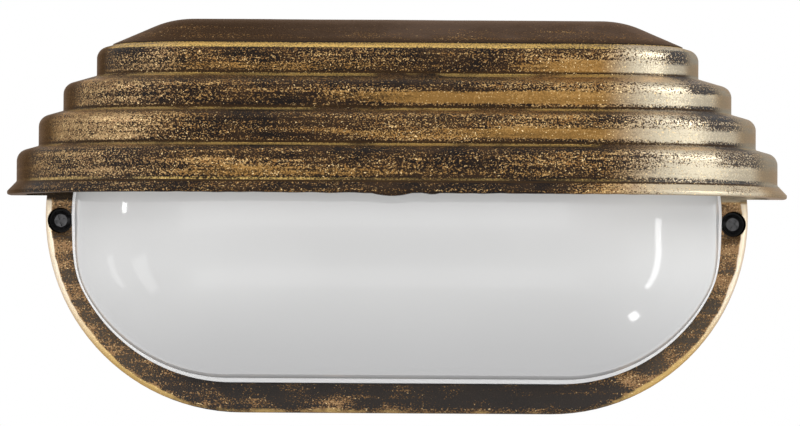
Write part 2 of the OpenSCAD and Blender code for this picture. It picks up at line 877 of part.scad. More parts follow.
module earth_screw() {
    seat = earth_f + earth_tag_t + earth_washer_t;
    color(brass) on_wall() translate([earth_x, earth_z, seat])
        pan_screw(earth_screw_d, seat - 2, 7.6, 2.6);
}

module earth_washer() {
    color(zinc) on_wall() translate([earth_x, earth_z, earth_f + earth_tag_t]) difference() {
        cylinder(r = earth_boss_r - 0.4, h = earth_washer_t);
        translate([0, 0, -cut])
            cylinder(d = earth_screw_d + screw_gap, h = earth_washer_t + 2 * cut);
    }
}

// Ring tag on the earth lead: a flat eye and a crimped barrel.
module earth_tag() {
    eye_r = earth_boss_r - 0.2;
    barrel = 7;
    color(zinc) on_wall() translate([earth_x, earth_z, earth_f]) {
        difference() {
            union() {
                cylinder(r = eye_r, h = earth_tag_t);
                translate([-2, -eye_r - 2, 0]) cube([4, eye_r, earth_tag_t]);
            }
            translate([0, 0, -cut])
                cylinder(d = earth_screw_d + screw_gap, h = earth_tag_t + 2 * cut);
        }
        translate([-1.6, tag_lead_z - earth_z, 0])
            cube([3.2, barrel, 3.2]);
    }
}

// Rubber grommet that closes the cable entry round the supply cable.
module cable_grommet() {
    neck_r = entry_d / 2 - fit_gap;
    color(rubber) on_wall() translate([entry_x, entry_z, 0]) difference() {
        union() {
            translate([0, 0, fit_gap]) cylinder(r = neck_r, h = box_wall);
            translate([0, 0, box_wall])
                cylinder(r = entry_d / 2 + grommet_lip_w, h = grommet_lip_t);
            translate([0, 0, box_wall + grommet_lip_t])
                cylinder(r1 = neck_r, r2 = grommet_hole_d / 2 + 2, h = grommet_lip_t * 2);
        }
        translate([0, 0, -cut])
            cylinder(d = grommet_hole_d, h = box_wall + 3 * grommet_lip_t + 2 * cut);
    }
}

// Points on a smooth curve through a route.
function spline(route, steps) = [
    for (i = [0 : len(route) - 2], s = [0 : steps - 1]) spline_point(route, i, s / steps),
    route[len(route) - 1]
];
function spline_point(route, i, t) =
    let (
        a = route[max(0, i - 1)], b = route[i], c = route[i + 1],
        d = route[min(len(route) - 1, i + 2)]
    )
    0.5 * (2 * b + (c - a) * t + (2 * a - 5 * b + 4 * c - d) * t * t
        + (3 * b - a - 3 * c + d) * t * t * t);
function unit(v) = v / norm(v);

// Round lead along a route of [x, z, distance from the wall].
module lead(route) {
    line = spline(route, 2);
    last = len(line) - 1;
    directions = [for (i = [0 : last]) unit(line[min(last, i + 1)] - line[max(0, i - 1)])];
    rings = [
        for (i = [0 : last])
            let (
                d = directions[i],
                side = unit(cross(d, abs(d[2]) < 0.9 ? [0, 0, 1] : [0, 1, 0])),
                up = cross(side, d)
            )
            for (k = [0 : lead_sides - 1])
                let (angle = 360 * k / lead_sides)
                line[i] + lead_r * (side * cos(angle) + up * sin(angle))
    ];
    walls = [
        for (i = [0 : last - 1], k = [0 : lead_sides - 1])
            let (
                a = i * lead_sides + k, b = i * lead_sides + (k + 1) % lead_sides
            )
            each [[a, b, b + lead_sides], [a, b + lead_sides, a + lead_sides]]
    ];
    near_end = [for (k = [lead_sides - 1 : -1 : 0]) k];
    far_end = [for (k = [0 : lead_sides - 1]) last * lead_sides + k];
    on_wall() polyhedron(rings, concat(walls, [near_end, far_end]));
}

module live_lead() {
    color([0.30, 0.16, 0.08]) lead(live_route);
}

module neutral_lead() {
    color([0.10, 0.24, 0.60]) lead(neutral_route);
}

module earth_lead() {
    color([0.35, 0.60, 0.15]) lead(earth_route);
}

back_box();
front_frame();
opal_glass();
glass_seal();
box_seal();
glass_clips();
clip_screws();
cover_screws();
cover_screw_washers();
holder_bracket();
bracket_screws();
lampholder();
screw_shell();
centre_contact();
holder_screws();
bulb();
terminal_block();
terminal_barrels();
terminal_screws();
block_screws();
earth_screw();
earth_washer();
earth_tag();
cable_grommet();
live_lead();
neutral_lead();
earth_lead();
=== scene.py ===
"""Looks of a hooded oval bulkhead light: finishes, smooth glass, screws, studio and camera.

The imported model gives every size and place. This script dresses its nodes, replaces the glass,
the front casting and the cover screws with finer meshes of the same form, and sets up a plain
studio with the camera in front of the light and a little below it.
"""

from __future__ import annotations

import json
import logging
import math
from dataclasses import dataclass, field
from enum import Enum
from typing import Any, Iterable, Sequence

import bmesh
import bpy
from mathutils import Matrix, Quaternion, Vector, noise

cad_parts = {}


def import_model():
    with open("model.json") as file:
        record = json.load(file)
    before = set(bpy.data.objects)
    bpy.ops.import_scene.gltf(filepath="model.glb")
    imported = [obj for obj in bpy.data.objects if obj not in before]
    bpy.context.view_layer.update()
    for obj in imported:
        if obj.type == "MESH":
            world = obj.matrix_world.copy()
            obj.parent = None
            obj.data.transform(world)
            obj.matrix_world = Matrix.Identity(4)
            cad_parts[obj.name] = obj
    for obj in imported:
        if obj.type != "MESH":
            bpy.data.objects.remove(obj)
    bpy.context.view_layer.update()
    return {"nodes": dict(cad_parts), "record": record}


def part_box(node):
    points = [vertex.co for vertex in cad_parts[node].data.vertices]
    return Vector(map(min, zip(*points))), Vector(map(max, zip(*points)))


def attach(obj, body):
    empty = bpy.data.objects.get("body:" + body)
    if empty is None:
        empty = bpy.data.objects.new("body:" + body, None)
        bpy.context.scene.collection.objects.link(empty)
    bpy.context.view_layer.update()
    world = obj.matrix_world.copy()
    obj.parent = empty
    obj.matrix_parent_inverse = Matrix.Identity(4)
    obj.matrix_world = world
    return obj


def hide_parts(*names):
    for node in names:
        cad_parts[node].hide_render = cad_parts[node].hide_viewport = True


LOG = logging.getLogger("bulkhead_light")
MM = 0.001
Colour = tuple[float, float, float]
Point = tuple[float, float]

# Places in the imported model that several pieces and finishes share.
FACE_Y = -52.0 * MM
CORNER_X = 68.0 * MM
CORNER_Y = -57.0 * MM
SCREW_X = 114.9 * MM
SCREW_Z = -2.0 * MM
TIER_TOPS = (23.0 * MM, 35.0 * MM, 47.0 * MM, 57.5 * MM)


class Stance(Enum):
    """How a swept piece stands: as drawn, or turned up onto the wall."""

    LEVEL = (0.0, 0.0, 0.0)
    ON_WALL = (math.pi / 2, 0.0, 0.0)


class Wire:
    """A shader socket that takes part in Python arithmetic."""

    def __init__(self, graph: "Graph", socket: bpy.types.NodeSocket) -> None:
        """Keeps the socket and the graph that it belongs to."""
        self.graph = graph
        self.socket = socket

    def _with(self, operation: str, *values: "Wire | float") -> "Wire":
        """Adds one Math node.

        Args:
            operation: the Math node's operation.
            values: its inputs in order.

        Returns:
            The node's result.
        """
        made = self.graph.add(
            "ShaderNodeMath", {"operation": operation}, dict(enumerate(values))
        )
        return Wire(self.graph, made.outputs[0])

    def __add__(self, other: "Wire | float") -> "Wire":
        """Sum."""
        return self._with("ADD", self, other)

    __radd__ = __add__

    def __sub__(self, other: "Wire | float") -> "Wire":
        """Difference."""
        return self._with("SUBTRACT", self, other)

    def __rsub__(self, other: "Wire | float") -> "Wire":
        """Difference from a number."""
        return self._with("SUBTRACT", other, self)

    def __mul__(self, other: "Wire | float") -> "Wire":
        """Product."""
        return self._with("MULTIPLY", self, other)

    __rmul__ = __mul__

    def __truediv__(self, other: "Wire | float") -> "Wire":
        """Quotient."""
        return self._with("DIVIDE", self, other)

    def __abs__(self) -> "Wire":
        """Size without sign."""
        return self._with("ABSOLUTE", self)

    def at_least(self, other: "Wire | float") -> "Wire":
        """The larger of the two."""
        return self._with("MAXIMUM", self, other)

    def at_most(self, other: "Wire | float") -> "Wire":
        """The smaller of the two."""
        return self._with("MINIMUM", self, other)

    def bearing(self, other: "Wire | float") -> "Wire":
        """Angle in radians of the direction whose legs are this wire and another."""
        return self._with("ARCTAN2", self, other)

    def root(self) -> "Wire":
        """Square root."""
        return self._with("SQRT", self)

    def rise(self, low: float, high: float) -> "Wire":
        """Smooth step.

        Args:
            low: value at which the step starts.
            high: value at which it is complete.

        Returns:
            0 below low, 1 above high, and a smooth rise between them.
        """
        made = self.graph.add(
            "ShaderNodeMapRange",
            {"interpolation_type": "SMOOTHSTEP"},
            {"Value": self, "From Min": low, "From Max": high},
        )
        return Wire(self.graph, made.outputs["Result"])

    def fall(self, low: float, high: float) -> "Wire":
        """The opposite of a rise: 1 below low and 0 above high."""
        return 1.0 - self.rise(low, high)

    def between(self, low: tuple[float, float], high: tuple[float, float]) -> "Wire":
        """1 between a rise and a fall, each given by its two ends."""
        return self.rise(*low) * self.fall(*high)


@dataclass(frozen=True)
class Grain:
    """A noise: features to the metre along each axis, octaves, and the share each one keeps.

    The shift moves the pattern, so that two grains of the same scale differ.
    """

    scale: tuple[float, float, float]
    detail: float = 3.0
    roughness: float = 0.6
    shift: float = 0.0


class Graph:
    """Builds the node tree of one material or world."""

    def __init__(self, tree: bpy.types.NodeTree) -> None:
        """Clears the tree and keeps it."""
        self.tree = tree
        tree.nodes.clear()

    def add(
        self,
        kind: str,
        settings: dict[str, Any] | None = None,
        inputs: dict[str | int, Any] | None = None,
    ) -> bpy.types.Node:
        """Adds a node.

        Args:
            kind: the node's type.
            settings: its own settings, which are set first; "stops" fills a colour ramp.
            inputs: values or wires for its input sockets, by name or number.

        Returns:
            The new node.
        """
        made = self.tree.nodes.new(kind)
        for name, value in (settings or {}).items():
            if name == "stops":
                self._fill_ramp(made, value)
            else:
                setattr(made, name, value)
        for key, value in (inputs or {}).items():
            socket = made.inputs[key]
            if isinstance(value, Wire):
                self.tree.links.new(value.socket, socket)
            elif isinstance(value, bpy.types.NodeSocket):
                self.tree.links.new(value, socket)
            else:
                socket.default_value = value
        return made

    @staticmethod
    def _fill_ramp(
        made: bpy.types.Node, stops: Sequence[tuple[float, float]]
    ) -> None:
        """Fills a colour ramp with grey stops.

        Args:
            made: the ramp's node.
            stops: pairs of place and value.
        """
        elements = made.color_ramp.elements
        while len(elements) < len(stops):
            elements.new(0.5)
        for element, (place, value) in zip(elements, stops):
            element.position = place
            element.color = (value, value, value, 1.0)

    def wire(self, made: bpy.types.Node, name: str | int = 0) -> Wire:
        """One output of a node as a wire."""
        return Wire(self, made.outputs[name])

    def place(self) -> tuple[Wire, Wire, Wire, bpy.types.NodeSocket]:
        """Object coordinates.

        Returns:
            The three coordinates in metres, and the vector that they come from.
        """
        vector = self.add("ShaderNodeTexCoord").outputs["Object"]
        split = self.add("ShaderNodeSeparateXYZ", None, {"Vector": vector})
        return self.wire(split, "X"), self.wire(split, "Y"), self.wire(split, "Z"), vector

    def noise(self, vector: bpy.types.NodeSocket, grain: Grain) -> Wire:
        """Noise that is stretched along the axes.

        Args:
            vector: coordinates to read.
            grain: what the noise is like.

        Returns:
            The noise, about 0.5 on average.
        """
        mapped = self.add(
            "ShaderNodeMapping",
            None,
            {"Vector": vector, "Location": (grain.shift,) * 3, "Scale": grain.scale},
        )
        made = self.add(
            "ShaderNodeTexNoise",
            None,
            {
                "Vector": mapped.outputs[0],
                "Scale": 1.0,
                "Detail": grain.detail,
                "Roughness": grain.roughness,
            },
        )
        return self.wire(made)

    def blend(
        self, factor: Wire, low: Colour | Wire, high: Colour | Wire
    ) -> Wire:
        """Mixes two colours.

        Args:
            factor: 0 for the first colour and 1 for the second.
            low: first colour.
            high: second colour.

        Returns:
            The mixed colour.
        """
        values = {
            6: low if isinstance(low, Wire) else (*low, 1.0),
            7: high if isinstance(high, Wire) else (*high, 1.0),
            0: factor,
        }
        made = self.add("ShaderNodeMix", {"data_type": "RGBA"}, values)
        return Wire(self, made.outputs[2])

    def bump(self, height: Wire, distance: float, strength: float = 1.0) -> Wire:
        """Surface relief from a height, with its greatest depth in metres."""
        made = self.add(
            "ShaderNodeBump",
            None,
            {"Height": height, "Distance": distance, "Strength": strength},
        )
        return Wire(self, made.outputs[0])

    def surface(self, **sockets: Any) -> None:
        """Ends the tree in a principled shader.

        Args:
            sockets: its inputs, with underscores in place of spaces.
        """
        shader = self.add(
            "ShaderNodeBsdfPrincipled",
            None,
            {name.replace("_", " "): value for name, value in sockets.items()},
        )
        self.add("ShaderNodeOutputMaterial", None, {"Surface": shader.outputs[0]})


def new_material(name: str) -> tuple[bpy.types.Material, Graph]:
    """A material and the graph that builds it."""
    made = bpy.data.materials.new(name)
    made.use_nodes = True
    return made, Graph(made.node_tree)


@dataclass(frozen=True)
class GoldMasks:
    """Where each layer of the rubbed finish lies; every wire runs from 0 to 1."""

    speck: Wire
    bronze: Wire
    gold: Wire
    sheen: Wire
    crest: Wire
    rim: Wire
    foot: Wire
    recess: Wire
    dome: Wire


@dataclass(frozen=True)
class RubbedGold:
    """Black-brown lacquer on cast metal, rubbed with antique gold on its raised edges, with painted
    light and shade.
    """

    dark: Colour = (0.008, 0.007, 0.007)
    umber: Colour = (0.030, 0.018, 0.011)
    # painted light and shade on the roof: brown where lit, near black where in shade
    dome_brown: Colour = (0.068, 0.052, 0.045)
    dome_grey: Colour = (0.013, 0.011, 0.0105)
    bronze: Colour = (0.120, 0.064, 0.025)
    amber: Colour = (0.235, 0.122, 0.040)
    gold: Colour = (0.385, 0.245, 0.100)
    smooth: Colour = (0.240, 0.130, 0.036)
    spark: Colour = (0.850, 0.640, 0.340)
    # rubbed gold on the shoulders' edges, painted brighter as a highlight
    crest: Colour = (0.640, 0.430, 0.135)
    # painted highlight: light gold-grey for where the softboxes shine on the corners
    pale: Colour = (0.500, 0.445, 0.335)
    # painted reflection: blue-grey of the lacquer under the corner's highlight
    reflection_slate: Colour = (0.040, 0.043, 0.047)
    # painted light and shade on the ends beside the wall: lit grey-green on the right, dark in
    # shade on the left
    lit_end_olive: Colour = (0.250, 0.222, 0.166)
    shade: Colour = (0.026, 0.019, 0.013)
    ring_dark: Colour = (0.048, 0.044, 0.042)
    ring_leaf: Colour = (0.235, 0.142, 0.078)
    ring_olive: Colour = (0.120, 0.096, 0.072)
    # painted shade in the crease at the foot of each wall and in the lip's seam
    crease_shade_brown: Colour = (0.034, 0.018, 0.007)
    # rubbed gold on the ring's rounded edge, painted lighter as a highlight towards the screws
    rim_gold: Colour = (0.640, 0.440, 0.165)
    rim_highlight_pale: Colour = (0.880, 0.780, 0.620)
    # painted shade: black inside the screw recesses
    recess_shade: Colour = (0.003, 0.003, 0.003)
    tint: Colour = (0.80, 0.58, 0.44)
    speck_grain: Grain = Grain((1650, 1650, 2100), 2.0, 0.7)
    streak_grain: Grain = Grain((26, 26, 560), 3.0, 0.65, 3.1)
    cloud_grain: Grain = Grain((18, 18, 60), 3.0, 0.55, 7.7)
    break_grain: Grain = Grain((40, 40, 90), 2.0, 0.5, 31.0)
    patch_grain: Grain = Grain((110, 110, 150), 3.0, 0.6, 17.0)
    drift_grain: Grain = Grain((60, 60, 140), 3.0, 0.6, 11.0)
    dot_grain: Grain = Grain((1500, 1500, 1700), 2.0, 0.6, 23.0)
    hue_grain: Grain = Grain((330, 330, 520), 2.0, 0.6, 41.0)
    cast_grain: Grain = Grain((260, 260, 420), 3.0, 0.6, 5.0)
    cast_depth: float = 0.25 * MM
    hood_low: float = 5.0 * MM
    hood_high: float = 70.0 * MM
    corner_x: float = CORNER_X
    corner_y: float = CORNER_Y
    oval_half: float = 52.75 * MM
    oval_r: float = 67.25 * MM
    screw_x: float = SCREW_X
    screw_z: float = SCREW_Z
    recess_r: float = 4.3 * MM
    face_y: float = FACE_Y
    tier_tops: tuple[float, ...] = TIER_TOPS
    crest_w: tuple[float, ...] = (0.5 * MM, 0.5 * MM, 0.8 * MM, 1.5 * MM)
    lip_z: float = 10.3 * MM
    sheen_z: tuple[float, ...] = (13.4 * MM, 26.4 * MM, 38.4 * MM, 49.2 * MM)
    sheen_x: tuple[float, ...] = (58.0 * MM, 10.0 * MM, -20.0 * MM, 30.0 * MM)

    def height_bias(self) -> list[tuple[float, float]]:
        """How much speckled gold lies at each height of the hood.

        The dips near 10.7 mm and 57.9 mm are painted shade in the creases at the lip's seam and at
        the roof's foot.

        Returns:
            Stops of a ramp from hood_low to hood_high.
        """
        by_height = [
            (5.0, 0.38), (7.0, 0.40), (9.6, 0.38), (10.7, 0.26), (11.4, 0.34), (13.0, 0.44),
            (17.0, 0.45), (20.5, 0.40), (22.5, 0.40), (24.0, 0.46), (28.0, 0.50), (31.0, 0.47),
            (34.0, 0.45), (36.0, 0.44), (40.0, 0.44), (43.0, 0.44), (46.0, 0.48), (48.0, 0.44),
            (52.0, 0.46), (55.0, 0.38), (57.5, 0.34), (57.9, 0.16), (59.5, 0.37), (62.5, 0.27),
            (70.0, 0.16),
        ]
        span = (self.hood_high - self.hood_low) / MM
        start = self.hood_low / MM
        return [((z - start) / span, value) for z, value in by_height]

    def lines(self, graph: Graph, along: Wire) -> tuple[Wire, Wire, Wire]:
        """Lines that follow the tiers.

        Args:
            graph: graph of the material.
            along: slow noise that breaks the lines up on their way round.

        Returns:
            The rubbed gold on the inner edge of each shoulder, painted brighter as a highlight,
            with a faint one above the lip; the foot of the wall above it, painted dark as shade in
            the crease, with the seam of the lip; and the smooth gold on the lower half of each
            wall.
        """
        x, _, z, _ = graph.place()
        kept = along.rise(0.40, 0.56)
        crest, foot, sheen = z * 0.0, z * 0.0, z * 0.0
        tiers = zip(self.tier_tops, self.crest_w, self.sheen_z, self.sheen_x)
        for top, width, middle, start in tiers:
            over = (top - 0.05 * MM, top + 0.15 * MM)
            line = z.between((top - width - 0.4 * MM, top - width), over)
            if top == self.tier_tops[-1]:
                crest = crest + line
            else:
                crest = crest + line * kept
                # painted shade in the crease at the wall's foot
                foot = foot + z.between(over, (top + 0.5 * MM, top + 1.2 * MM))
            band = z.between(
                (middle - 3.0 * MM, middle - 0.6 * MM), (middle + 0.6 * MM, middle + 4.2 * MM)
            )
            sheen = sheen + band * (0.45 + x.rise(start, start + 40.0 * MM) * 0.55)
        lip = self.lip_z
        # painted shade in the lip's seam
        foot = foot + z.between((lip - 0.5 * MM, lip - 0.2 * MM), (lip + 0.1 * MM, lip + 0.4 * MM))
        edge = z.between((lip + 0.2 * MM, lip + 0.5 * MM), (lip + 0.9 * MM, lip + 1.4 * MM))
        to_left = x.fall(-50.0 * MM, 0.0)
        crest = crest + edge * along.rise(0.36, 0.54) * (0.25 + to_left * 0.45)
        return crest, foot, sheen

    def front(self, y: Wire) -> Wire:
        """1 from the ring's face forward, 0 on the sides and the back of the light."""
        return y.fall(self.face_y + 1.0 * MM, self.face_y + 4.0 * MM)

    def above_lip(self, z: Wire) -> Wire:
        """1 at the heights of the hood, 0 below its lip."""
        return z.rise(self.hood_low - 0.5 * MM, self.hood_low + 0.5 * MM)

    def recess(self, across: Wire, y: Wire, z: Wire) -> Wire:
        """Mask of the screw recesses, painted black as shade.

        Args:
            across: distance from the middle of the light.
            y: depth coordinate.
            z: height.

        Returns:
            1 inside the recesses and 0 elsewhere.
        """
        dx = across - self.screw_x
        dz = z - self.screw_z
        hole = (dx * dx + dz * dz).root().fall(self.recess_r, self.recess_r + 0.12 * MM)
        return hole * y.rise(self.face_y + 0.1 * MM, self.face_y + 0.6 * MM)

    def corner(self, graph: Graph) -> tuple[Wire, Wire, Wire, Wire]:
        """Masks round the hood's corners.

        Args:
            graph: graph of the material.

        Returns:
            The highlight of the softboxes painted onto the corner, strongest on the right; the zone
            after it, painted darker; and 1 on the ends beside the wall, the right one first.
        """
        x, y, z, _ = graph.place()
        angle = (abs(x) - self.corner_x).bearing(self.corner_y - y)
        roof = self.tier_tops[-1]
        on_wall = self.front(y) * z.between(
            (self.hood_low, self.hood_low + 1.0 * MM), (roof - 0.3 * MM, roof + 0.1 * MM)
        )
        end = angle.rise(math.radians(54.0), math.radians(68.0))
        after = angle.rise(math.radians(34.0), math.radians(46.0))
        right = x.rise(-1.0 * MM, 1.0 * MM)
        # painted highlight: where the softboxes would shine on the corner, mostly on the right
        corner_highlight = angle.rise(math.radians(-2.0), math.radians(24.0)) * (1.0 - end)
        corner_highlight = corner_highlight * on_wall * (0.18 + right * 0.82)
        # painted shade: the darker zone just past the corner's highlight
        late = after * (1.0 - end) * on_wall * right
        return corner_highlight, late, end * on_wall * right, end * on_wall * (1.0 - right)

    def masks(self, graph: Graph, corner_highlight: Wire, late: Wire) -> GoldMasks:
        """Where the gold lies.

        Args:
            graph: graph of the material.
            corner_highlight: the painted highlight on the corner.
            late: the painted darker zone after that highlight.

        Returns:
            The masks of the layers.
        """
        x, y, z, vector = graph.place()
        across = abs(x)
        end = (across - self.oval_half).at_least(0.0)
        radius = (end * end + z * z).root()
        front = self.front(y)
        edge = radius.rise(self.oval_r - 3.2 * MM, self.oval_r - 0.6 * MM) * front
        beside = across.rise(62.0 * MM, 104.0 * MM)
        ring = 0.34 + edge * (0.22 + beside * 0.12) + beside * 0.20
        place = (z - self.hood_low) / (self.hood_high - self.hood_low)
        ramp = graph.add("ShaderNodeValToRGB", {"stops": self.height_bias()}, {0: place})
        roof = self.tier_tops[-1]
        on_hood = self.above_lip(z) * front
        dome = z.rise(roof - 0.1 * MM, roof + 0.3 * MM) * front
        # painted highlight: a little more gold towards the right and at the left corner's start,
        # where the softboxes shine
        to_right = x.rise(-5.0 * MM, 75.0 * MM) * 0.08
        to_left = x.fall(-80.0 * MM, -45.0 * MM) * z.fall(40.0 * MM, 50.0 * MM) * 0.08
        # painted highlight: more gold on the right of the lip, a little less elsewhere
        lip = z.fall(self.lip_z - 0.7 * MM, self.lip_z + 0.5 * MM)
        hood = graph.wire(ramp) + (to_right + to_left) * (1.0 - dome)
        hood = hood + lip * (x.rise(40.0 * MM, 75.0 * MM) * 0.30 - 0.06)
        bias = 0.36 + (ring * (1.0 - on_hood) + hood * on_hood - 0.36) * front
        speck = graph.noise(vector, self.speck_grain)
        streak = graph.noise(vector, self.streak_grain)
        cloud = graph.noise(vector, self.cloud_grain)
        patch = graph.noise(vector, self.patch_grain)
        crest, foot, sheen = self.lines(graph, graph.noise(vector, self.break_grain))
        cover = (streak - 0.5) * 0.50 + (cloud - 0.5) * 0.40
        cover = cover + (speck - 0.5) * (1.0 + on_hood * 0.15)
        cover = cover + (patch - 0.5) * (1.0 - on_hood) * 0.55
        # painted light and shade: more gold under the corner's highlight, less just past it and in
        # the creases
        cover = cover + (bias - 0.45) * 0.75 + corner_highlight * 0.15 - late * 0.16 - foot * on_hood * 0.08
        broken = (streak - 0.5) * 1.1 + (cloud - 0.5) * 0.9 + (speck - 0.5) * 0.8
        rubbed = (speck * 1.3 + streak * 0.6).rise(0.72, 1.08)
        # rubbed gold on the ring's rounded edge with painted highlight, stronger at the sides
        rim = edge * (0.50 + beside * 0.70) + (cloud + patch - 1.0) * 0.9
        return GoldMasks(
            speck=speck,
            bronze=cover.rise(0.0, 0.10),
            gold=cover.rise(0.07, 0.18),
            sheen=(sheen * on_hood + broken - 0.42).rise(-0.08, 0.36),
            crest=(crest * on_hood * rubbed).at_most(1.0),
            rim=rim.rise(0.40, 0.75) * (1.0 - on_hood) * front,
            foot=foot * on_hood,
            recess=self.recess(across, y, z),
            dome=dome,
        )

    def ground(self, graph: Graph, masks: GoldMasks, corner_highlight: Wire, below: Wire) -> Wire:
        """Colour under the gold: lacquer on the walls; dark lacquer on the ring, lighter towards
        its sides;
        on the roof painted light and shade, browner to the right and darker to the left and along
        its foot; and a painted blue-grey reflection under the corner's highlight.

        Args:
            graph: graph of the material.
            masks: where the layers lie.
            corner_highlight: the painted highlight on the corner.
            below: 1 on the front below the hood.

        Returns:
            The colour.
        """
        x, y, z, vector = graph.place()
        drift = graph.noise(vector, self.drift_grain)
        colour = graph.blend(drift.rise(0.40, 0.66), self.dark, self.umber)
        # the ring's face turns from dark to a lighter grey-brown towards its sides
        beside = abs(x).rise(66.0 * MM, 100.0 * MM) * self.front(y)
        ring_side_share = (beside * 0.8 + (masks.speck - 0.5) * 1.3).rise(0.0, 0.9)
        ring_ground = graph.blend(ring_side_share, self.ring_dark, self.ring_olive)
        colour = graph.blend(below * 0.75, colour, ring_ground)
        # painted reflection: blue-grey on the lacquer under the corner's highlight
        colour = graph.blend(corner_highlight * 0.8, colour, self.reflection_slate)
        roof = self.tier_tops[-1]
        # painted light and shade: the roof browner and lighter to the right, darker to the left and
        # along its foot
        roof_light_share = x.rise(-60.0 * MM, 20.0 * MM) * z.rise(roof + 0.1 * MM, roof + 3.0 * MM)
        roof_light_share = roof_light_share * (0.55 + drift.rise(0.35, 0.65) * 0.45) + (masks.speck - 0.5) * 1.2
        dome = graph.blend(roof_light_share.rise(-0.2, 1.1), self.dome_grey, self.dome_brown)
        return graph.blend(masks.dome, colour, dome)

    def material(self, name: str) -> bpy.types.Material:
        """Builds the finish.

        Args:
            name: name of the material.

        Returns:
            The material.
        """
        made, graph = new_material(name)
        corner_highlight, late, right_end, left_end = self.corner(graph)
        masks = self.masks(graph, corner_highlight, late)
        _, y, z, vector = graph.place()
        below = (1.0 - self.above_lip(z)) * self.front(y)
        hue = graph.noise(vector, self.hue_grain)
        leaf = graph.blend(hue.rise(0.38, 0.58), self.amber, self.gold)
        # painted highlight: the gold turns lighter under the corner's highlight
        leaf = graph.blend(corner_highlight, leaf, self.pale)
        dots = graph.noise(vector, self.dot_grain)
        to_screws = z.rise(-52.0 * MM, -22.0 * MM)
        layers = (
            (masks.bronze, self.bronze),
            (masks.gold, graph.blend(below * 0.75, leaf, self.ring_leaf)),
            # painted highlight: the smooth gold and the crests turn lighter under the corner's
            # highlight
            (masks.sheen * 0.72, graph.blend(corner_highlight, self.smooth, self.pale)),
            # painted shade in the creases
            (masks.foot * 0.85, self.crease_shade_brown),
            # rubbed gold on the shoulders' edges, painted brighter as a highlight
            (masks.crest, graph.blend(corner_highlight, self.crest, self.pale)),
            # rubbed gold on the ring's edge with painted highlight, lighter towards the screws
            (masks.rim * 0.8, graph.blend(to_screws, self.rim_gold, self.rim_highlight_pale)),
            (dots.rise(0.61, 0.70) * masks.bronze, self.spark),
            # painted light and shade: the right end beside the wall lit, the left end in shade
            (right_end * 0.85, self.lit_end_olive),
            (left_end * 0.9, self.shade),
            # painted shade: black inside the screw recesses
            (masks.recess, self.recess_shade),
        )
        colour = self.ground(graph, masks, corner_highlight, below)
        for share, layer in layers:
            colour = graph.blend(share, colour, layer)
        cast = graph.noise(vector, self.cast_grain)
        relief = graph.bump(cast * 0.5 + masks.speck * 0.5, self.cast_depth, 0.6)
        metal = (masks.bronze * 0.45 + masks.gold * 0.45).at_least(masks.dome * 0.85)
        for share in (masks.sheen * 0.8, left_end * 0.85, masks.crest * 0.9, masks.rim * 0.85):
            metal = metal.at_least(share)
        graph.surface(
            Base_Color=colour,
            Metallic=metal * (1.0 - masks.recess),
            Roughness=0.48 - masks.gold * 0.06 + masks.recess * 0.4,
            Specular_IOR_Level=0.10,
            Specular_Tint=(*self.tint, 1.0),
            Normal=relief,
        )
        return made


@dataclass(frozen=True)
class OpalGlass:
    """White opal glass with a clear glossy skin."""

    milk: Colour = (0.735, 0.735, 0.73)
    cloud: Colour = (0.785, 0.785, 0.78)
    # painted shade: a slightly darker tone towards the bottom
    dense: Colour = (0.725, 0.725, 0.73)
    # painted light: a glow under the hood, though the glass is no lamp
    glow: Colour = (0.16, 0.16, 0.16)
    # painted reflection: a white band round the rim
    rim: Colour = (0.95, 0.95, 0.95)
    rim_y: float = -58.5 * MM
    rim_fade: float = 1.4 * MM
    low: float = -60.0 * MM
    middle: float = -22.0 * MM
    high: float = 4.0 * MM
    drift_grain: Grain = Grain((14, 14, 14), 2.0, 0.5)

    def material(self, name: str) -> bpy.types.Material:
        """Builds the finish: faintly clouded, painted a little darker below as shade, with a
        painted glow under the hood and a painted white reflection round the rim.
        """
        made, graph = new_material(name)
        _, y, z, vector = graph.place()
        drift = graph.noise(vector, self.drift_grain)
        milk = graph.blend(drift.rise(0.3, 0.7), self.milk, self.cloud)
        # painted shade: slightly darker towards the bottom
        milk = graph.blend(z.rise(self.low, self.middle), self.dense, milk)
        # painted light: share of the glow under the hood
        painted_glow_share = z.rise(self.middle, self.high)
        graph.surface(
            # painted reflection: white band round the rim
            Base_Color=graph.blend(y.rise(self.rim_y, self.rim_y + self.rim_fade), milk, self.rim),
            Roughness=0.06 + drift * 0.03,
            IOR=1.5,
            Emission_Color=graph.blend(painted_glow_share * painted_glow_share, (0.0, 0.0, 0.0), self.glow),
            Emission_Strength=1.0,
        )
        return made


@dataclass(frozen=True)
class Moulded:
    """A plain finish with a fine grain: rubber, porcelain, wire insulation or plain metal."""

    colour: Colour
    roughness: float
    grain: float = 900.0
    depth: float = 0.03 * MM
    metallic: float = 0.0
    drift_grain: Grain = Grain((70, 70, 70), 2.0, 0.5, 2.0)

    def material(self, name: str) -> bpy.types.Material:
        """Builds the finish with a slight drift of tone and a fine relief."""
        made, graph = new_material(name)
        _, _, _, vector = graph.place()
        fine = graph.noise(vector, Grain((self.grain,) * 3))
        drift = graph.noise(vector, self.drift_grain)
        lighter = tuple(min(1.0, c * 1.16 + 0.004) for c in self.colour)
        graph.surface(
            Base_Color=graph.blend(drift.rise(0.35, 0.65), self.colour, lighter),
            Metallic=self.metallic,
            Roughness=(self.roughness - 0.05) + fine * 0.1,
            Normal=graph.bump(fine, self.depth, 0.5),
        )
        return made


